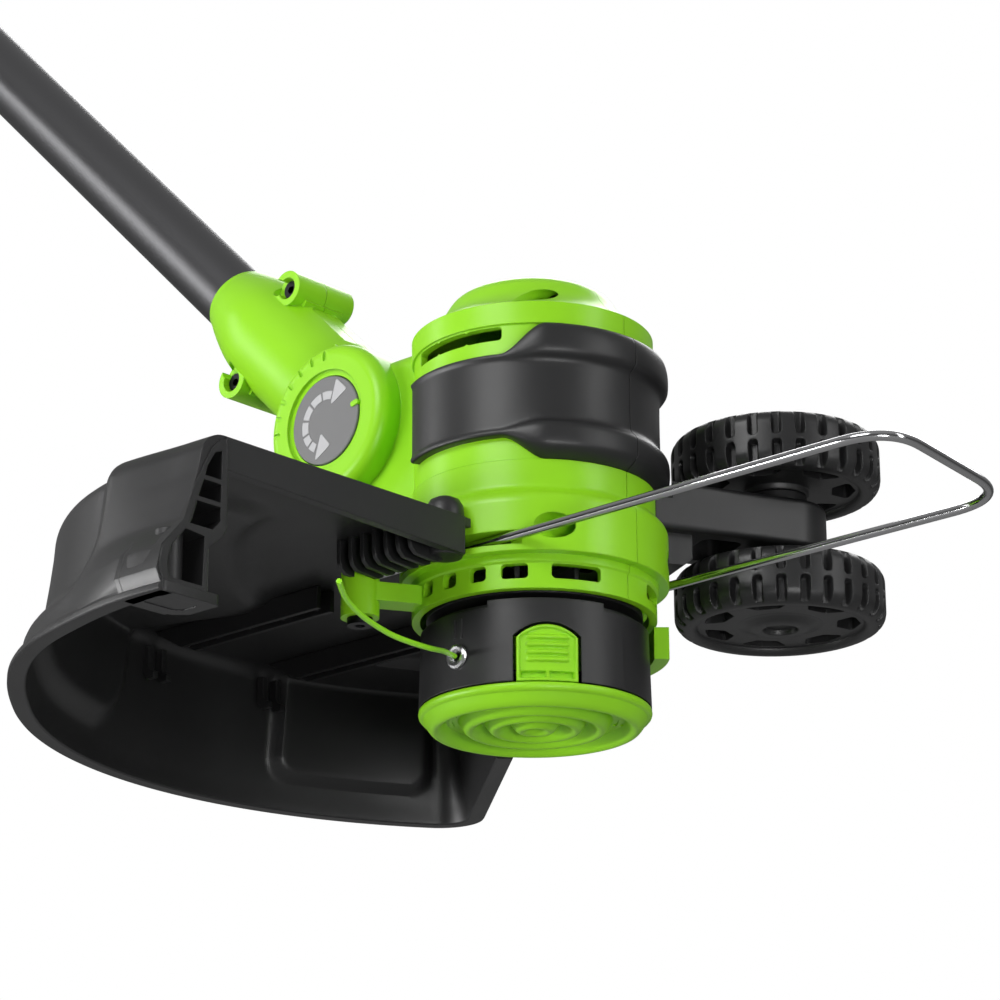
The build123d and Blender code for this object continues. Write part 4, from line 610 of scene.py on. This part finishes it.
# ---- cap latches ---------------------------------------------------------------------------------------
CAP_LATCHES = (("cap_latch_front", "latch_front", -42.0), ("cap_latch_rear", "latch_rear", 138.0))
LATCH_HALF, LATCH_LOW, LATCH_SPRING_Z, LATCH_TOP = 9.7, 6.9, 20.6, 24.6
LATCH_FACE_R, LATCH_BACK_R = 36.1, 33.3


def inside_box(x, y, middle, half, round_by, soft=0.25):
    """From 0 outside a rounded box to 1 inside it."""
    across, up = abs(x - middle[0]) - half[0] + round_by, abs(y - middle[1]) - half[1] + round_by
    gap = hypot(max(across, 0.0), max(up, 0.0)) + min(max(across, up), 0.0) - round_by
    return smoothstep(-gap, -soft / 2, soft / 2)


def latch_depth(x, y, top):
    """How far the latch's face stands out: a sunk pad with finger bars, two slots and worn edges."""
    depth = -0.75 * inside_box(x, y, (0.0, 17.4), (8.5, 7.6), 0.6) * smoothstep(top - y, 0.9, 1.3)
    for row in range(4):
        depth += 0.9 * inside_box(x, y, (0.0, 13.6 + 2.35 * row), (6.6, 0.62), 0.6, 0.4)
    for middle in (-4.45, 4.45):
        depth -= 1.9 * inside_box(x, y, (middle, 8.9), (3.9, 1.0), 0.2)
    return depth - 0.5 * (1 - smoothstep(min(LATCH_HALF - abs(x), top - y), 0.0, 0.5)) ** 2


def make_latch(node, body, angle):
    """Bowed tab with a raised frame, four finger bars and two slots at its foot."""
    drop = LATCH_TOP - LATCH_SPRING_Z
    arch_r = (LATCH_HALF ** 2 + drop ** 2) / (2 * drop)
    wide, high = 90, 84
    verts, faces = [], []
    for i in range(wide + 1):
        x = LATCH_HALF * (2 * i / wide - 1)
        top = LATCH_TOP - arch_r + sqrt(arch_r ** 2 - x ** 2)
        turn = angle + degrees(x / LATCH_FACE_R)
        verts.append((*around(turn, LATCH_BACK_R), LATCH_LOW))
        for j in range(high + 1):
            y = LATCH_LOW + (top - LATCH_LOW) * j / high
            verts.append((*around(turn, LATCH_FACE_R + latch_depth(x, y, top)), y))
        verts.append((*around(turn, LATCH_BACK_R), top))
    rows = high + 3
    for i in range(wide):
        for j in range(rows):
            a, b = i * rows + j, i * rows + (j + 1) % rows
            faces.append((a, b, b + rows, a + rows))
    faces.append(tuple(range(rows)))
    faces.append(tuple(wide * rows + j for j in range(rows)))
    link_mesh(node + "_barred", verts, faces, body, "green_plastic", replaced=[node], sharp=50.0)


for latch in CAP_LATCHES:
    make_latch(*latch)


# ---- band round the casing -----------------------------------------------------------------------------
# the band's section in front, with its two ribs, and at the sides, as radius and height
BAND_FRONT = [(38.0, 76.6), (38.9, 76.6), (43.0, 79.6), (43.5, 82.0), (43.5, 85.6), (42.8, 87.4), (40.9, 89.0),
              (40.5, 91.0), (40.5, 106.8), (40.9, 108.8), (42.8, 110.2), (43.5, 112.0), (43.5, 117.0),
              (42.4, 120.4), (38.0, 121.1)]
BAND_SIDE = [(38.0, 84.0), (40.0, 84.0), (40.7, 84.2), (41.0, 84.7), (41.0, 85.3), (40.7, 85.9), (40.5, 86.6),
             (40.5, 88.0), (40.5, 107.0), (40.5, 108.4), (40.7, 109.1), (41.0, 109.6), (41.0, 110.2),
             (40.7, 110.8), (38.0, 111.2)]
BAND_START, BAND_BACK = 0.19, 118.6          # each half's ends, as a turn from the front
BAND_COLUMNS = 150


def softened(points):
    """Open outline with its corners cut off twice."""
    for _ in range(2):
        cut = [points[0]]
        for one, two in zip(points, points[1:]):
            cut += [tuple(Vector(one).lerp(Vector(two), 0.25)), tuple(Vector(one).lerp(Vector(two), 0.75))]
        points = [*cut, points[-1]]
    return points


def make_band(side, node):
    verts, faces = [], []
    for k in range(BAND_COLUMNS + 1):
        angle = BAND_START + (BAND_BACK - BAND_START) * k / BAND_COLUMNS
        plain = smoothstep(angle, 42.0, 63.0)
        profile = [tuple(Vector(f).lerp(Vector(b), plain)) for f, b in zip(BAND_FRONT, BAND_SIDE)]
        verts += [(*around(side * angle, r), z) for r, z in softened(profile)]
    rows = len(verts) // (BAND_COLUMNS + 1)
    for k in range(BAND_COLUMNS):
        for row in range(rows):
            a, b = k * rows + row, k * rows + (row + 1) % rows
            faces.append((a, b, b + rows, a + rows))
    faces.append(tuple(range(rows)))
    faces.append(tuple(BAND_COLUMNS * rows + row for row in range(rows)))
    link_mesh(node + "_ribbed", verts, faces, "head", "black_plastic", replaced=[node], sharp=60.0)


make_band(-1, "band_left")
make_band(1, "band_right")


# ---- edging wheels ---------------------------------------------------------------------------------
WHEEL_ANGLE, WHEEL_REACH = 63.1, 85.3        # the wheels' axle about the spool's axis
WHEEL_LOWER_Z, WHEEL_UPPER_Z = 51.1, 96.3
WHEEL_R, WHEEL_HALF = 34.2, 9.7
WHEEL_POCKETS = 7
NOTCHES = 28
NOTCH_HALF = 1.55
NOTCH_FLOOR = 31.3
NOTCH_FOOT = 2.4             # the notch's round foot starts here, to both sides of the middle
# turns about each notch, in degrees, close together at its edges
NOTCH_STEPS = (-2.85, -2.6, -2.35, -1.6, 0.0, 1.6, 2.35, 2.6, 2.85, 4.6, 6.4, 8.2)


def tread_profile():
    """Half of the tyre's outline from the middle of the tread over the shoulder, as radius and height."""
    points = [(WHEEL_R, z) for z in (0.0, 0.5, 0.8, 1.1, 1.4, 1.8, 2.2, 2.6, 3.4, 4.4)]
    points += arc_2d((WHEEL_R - 5.0, WHEEL_HALF - 5.0), 5.0, 0, 78, 11)[1:]
    return points


def tread_radius(r, z, turn):
    """Radius of the tyre with its notches, which run out over the shoulders."""
    spacing = 360.0 / NOTCHES
    along = abs((turn + spacing / 2) % spacing - spacing / 2) * radians(1) * WHEEL_R
    beyond = abs(z) - NOTCH_FOOT
    gap = along - NOTCH_HALF if beyond >= 0 else hypot(along, beyond) - NOTCH_HALF
    return min(r, r + (NOTCH_FLOOR - r) * smoothstep(-gap, -0.12, 0.3))


def make_tyre(centre):
    half = tread_profile()
    rim = [(28.6, WHEEL_HALF), (27.6, WHEEL_HALF - 0.5), (27.0, WHEEL_HALF - 1.6), (26.6, WHEEL_HALF - 3.2),
           (26.6, 0.0)]
    profile = [(r, -z) for r, z in reversed(half + rim)] + (half + rim)[1:]
    turns = [360.0 / NOTCHES * k + step for k in range(NOTCHES) for step in NOTCH_STEPS]
    verts, faces = [], []
    for turn in turns:
        verts += [(*(Vector(centre[:2]) + Vector(around(turn, tread_radius(r, z, turn)))), centre[2] + z)
                  for r, z in profile]
    rows, columns = len(profile), len(turns)
    for column in range(columns):
        for row in range(rows - 1):
            a, b = column * rows + row, (column + 1) % columns * rows + row
            faces.append((a, b, b + 1, a + 1))
    return verts, faces


def make_wheel(node, z, outer_side):
    centre = (*around(WHEEL_ANGLE, WHEEL_REACH), z)
    face = WHEEL_HALF - 2.0
    openings = []
    for k in range(WHEEL_POCKETS):
        middle = 360.0 / WHEEL_POCKETS * k + 90.0
        corners = [around(middle - 11.0, 18.6), around(middle - 19.0, 24.8), around(middle, 26.0),
                   around(middle + 19.0, 24.8), around(middle + 11.0, 18.6)]
        openings.append(rounded(corners, 1.6))
    circle = arc_2d((0.0, 0.0), 26.9, 0, 360, 96)[:-1]

    def place(x, y, depth):
        return (centre[0] + x, centre[1] + y, centre[2] + outer_side * depth)

    parts = [make_tyre(centre), plate(circle, openings, place, -face, face),
             plate(circle, [], place, -1.2, 1.2)]
    hub = [(5.4, WHEEL_HALF - 4.9), (5.4, WHEEL_HALF - 0.9), (5.9, WHEEL_HALF - 0.2), (8.6, WHEEL_HALF - 0.2),
           (10.0, WHEEL_HALF - 0.7), (11.6, WHEEL_HALF - 1.6), (14.0, WHEEL_HALF - 2.1),
           (10.7, WHEEL_HALF - 3.0), (10.7, -WHEEL_HALF + 0.6), (10.2, -WHEEL_HALF),
           (3.1, -WHEEL_HALF), (3.1, WHEEL_HALF - 4.9), (5.4, WHEEL_HALF - 4.9)]
    verts, faces = lathe(hub)
    parts.append(([place(*vert) for vert in verts], faces))
    link_mesh(node + "_treaded", *joined(parts), node, "black_plastic", replaced=[node], sharp=40.0)


make_wheel("wheel_lower", WHEEL_LOWER_Z, -1)
make_wheel("wheel_upper", WHEEL_UPPER_Z, 1)


# ---- wire guard ------------------------------------------------------------------------------------
WIRE_Z, WIRE_R = 50.3, 1.5
WIRE_CORNERS = ((-34.0, -36.0), (163.8, -36.0), (154.2, 36.0), (-34.0, 36.0))
WIRE_BENDS = (15.6, 23.0)


def bent(corners, bends, steps=16):
    """Open path with rounded bends."""
    points = [corners[0]]
    for k, radius in enumerate(bends, 1):
        here = Vector(corners[k])
        before = (Vector(corners[k - 1]) - here).normalized()
        after = (Vector(corners[k + 1]) - here).normalized()
        back = radius / tan(before.angle(after) / 2)
        start, end = here + before * back, here + after * back
        for step in range(steps + 1):
            share = step / steps
            points.append(tuple(start.lerp(here, share).lerp(here.lerp(end, share), share)))
    return [*points, corners[-1]]


def make_wire():
    path = bent(WIRE_CORNERS, WIRE_BENDS)
    sides = 32
    verts, faces = [], []
    for (x, y), n in zip(path, normals_2d(path)):
        for k in range(sides):
            swing = 2 * pi * k / sides
            out = WIRE_R * cos(swing)
            verts.append((x + n.x * out, y + n.y * out, WIRE_Z + WIRE_R * sin(swing)))
    for column in range(len(path) - 1):
        for k in range(sides):
            a, b = column * sides + k, column * sides + (k + 1) % sides
            faces.append((a, b, b + sides, a + sides))
    faces.append(tuple(range(sides)))
    faces.append(tuple((len(path) - 1) * sides + k for k in range(sides)))
    link_mesh("wire_guard_bent", verts, faces, "wire_guard", "chrome", replaced=["wire_guard"], sharp=60.0)


make_wire()


# ---- marks on the tilting joint ---------------------------------------------------------------------
PIVOT = Vector(JOINTS["head_pivot"]["pos_m"]) / MM
DISC_FACE = 27.4             # the grey disc's face, to the side of the middle
ARROW_R = 9.2
ARROW_CENTRE = (0.0, -0.7)
ARROW_HALF = 1.45            # half the width of the dashes
ARROW_DASHES = ((71.0, 97.0), (100.5, 130.0), (134.5, 163.0), (167.5, 195.0), (199.5, 220.0), (224.5, 242.0))
ARROW_HEADS = (((5.0, 13.6), (10.1, 8.6), (2.3, 4.4)), ((-1.9, -4.0), (2.6, -9.2), (-4.8, -13.6)))


def make_arrows():
    """Dashed double arrow on the release button's disc, and the casing's index tab beside it."""
    parts = []

    def left_face(x, z, depth):
        return (PIVOT.x + x, -(DISC_FACE + depth), PIVOT.z + z)

    for start, end in ARROW_DASHES:
        outline = arc_2d(ARROW_CENTRE, ARROW_R + ARROW_HALF, start, end, 8)
        outline += arc_2d(ARROW_CENTRE, ARROW_R - ARROW_HALF, end, start, 8)
        parts.append(plate(outline, [], left_face, -0.05, 0.12))
    for head in ARROW_HEADS:
        parts.append(plate(rounded(head, 0.8), [], left_face, -0.05, 0.13))
    marks = link_mesh("pivot_arrows", *joined(parts), "pivot_button", "grey_plastic")
    paint(marks, "mark_plastic")

    tab = rounded([(12.3, 1.2), (15.6, 2.0), (15.2, 3.8), (11.9, 3.0)], 0.8)
    link_mesh("pivot_index_tab", *plate(tab, [], left_face, -1.6, 0.5), "head", "green_plastic")


make_arrows()


# ---- studio ---------------------------------------------------------------------------------------
FLOOR_HALF = 6.0
FLOOR_GREY = 0.30            # what the object gets back from the floor
FLOOR_WHITE = 0.86           # share of plain white that the camera sees on it


def make_floor():
    mesh = bpy.data.meshes.new("floor")
    corners = [(x * FLOOR_HALF, y * FLOOR_HALF, FLOOR_Z) for x, y in ((-1, -1), (1, -1), (1, 1), (-1, 1))]
    mesh.from_pydata(corners, [], [(0, 1, 2, 3)])
    floor = bpy.data.objects.new("floor", mesh)
    bpy.context.scene.collection.objects.link(floor)
    material, nodes, links = new_material("floor")
    dull = nodes["Principled BSDF"]
    dull.inputs["Base Color"].default_value = (FLOOR_GREY, FLOOR_GREY, FLOOR_GREY, 1)
    dull.inputs["Roughness"].default_value = 0.8
    white = nodes.new("ShaderNodeEmission")
    rays = nodes.new("ShaderNodeLightPath")
    seen = nodes.new("ShaderNodeMath")
    seen.operation = "MULTIPLY"
    seen.inputs[1].default_value = FLOOR_WHITE
    mix = nodes.new("ShaderNodeMixShader")
    links.new(rays.outputs["Is Camera Ray"], seen.inputs[0])
    links.new(seen.outputs["Value"], mix.inputs["Fac"])
    links.new(dull.outputs["BSDF"], mix.inputs[1])
    links.new(white.outputs["Emission"], mix.inputs[2])
    links.new(mix.outputs["Shader"], nodes["Material Output"].inputs["Surface"])
    mesh.materials.append(material)


def make_world():
    """White for the camera, and a soft grey that is brighter from above for all other rays."""
    world = bpy.data.worlds.new("studio")
    bpy.context.scene.world = world
    world.use_nodes = True
    nodes, links = world.node_tree.nodes, world.node_tree.links
    seen = nodes["Background"]
    seen.inputs["Color"].default_value = (1, 1, 1, 1)
    seen.inputs["Strength"].default_value = 1.0
    fill = nodes.new("ShaderNodeBackground")
    place = nodes.new("ShaderNodeTexCoord")
    split = nodes.new("ShaderNodeSeparateXYZ")
    links.new(place.outputs["Generated"], split.inputs["Vector"])
    ramp = nodes.new("ShaderNodeValToRGB")
    ramp.color_ramp.elements[0].position = 0.0
    ramp.color_ramp.elements[0].color = (0.07, 0.07, 0.07, 1)
    ramp.color_ramp.elements[1].position = 0.75
    ramp.color_ramp.elements[1].color = (0.36, 0.36, 0.36, 1)
    links.new(split.outputs["Z"], ramp.inputs["Fac"])
    links.new(ramp.outputs["Color"], fill.inputs["Color"])
    fill.inputs["Strength"].default_value = 1.0
    rays = nodes.new("ShaderNodeLightPath")
    mix = nodes.new("ShaderNodeMixShader")
    links.new(rays.outputs["Is Camera Ray"], mix.inputs["Fac"])
    links.new(fill.outputs["Background"], mix.inputs[1])
    links.new(seen.outputs["Background"], mix.inputs[2])
    links.new(mix.outputs["Shader"], nodes["World Output"].inputs["Surface"])


def softbox(name, at, size, watts, target=(0.0, 0.0, 0.07)):
    data = bpy.data.lights.new(name, "AREA")
    data.shape = "RECTANGLE"
    data.size, data.size_y = size
    data.energy = watts
    lamp = bpy.data.objects.new(name, data)
    bpy.context.scene.collection.objects.link(lamp)
    lamp.location = at
    lamp.rotation_euler = (Vector(target) - Vector(at)).to_track_quat("-Z", "Y").to_euler()
    return lamp


def make_lights():
    softbox("key", (0.15, -1.35, 0.85), (0.8, 0.6), 13.0)
    softbox("left", (-1.25, -0.75, 0.25), (0.25, 1.3), 5.0)
    softbox("right", (1.35, 0.25, 0.35), (0.22, 1.2), 5.0)
    softbox("rim", (-0.5, 1.1, 1.1), (1.2, 0.5), 10.0)
    softbox("inside", (0.75, -0.45, -0.22), (0.35, 0.2), 3.2, target=(-0.11, 0.0, 0.03))
    softbox("low", (-0.75, -0.95, -0.14), (0.7, 0.10), 9.0, target=(0.0, 0.0, 0.0))


bpy.context.scene.view_settings.view_transform = "Standard"
make_floor()
make_world()
make_lights()
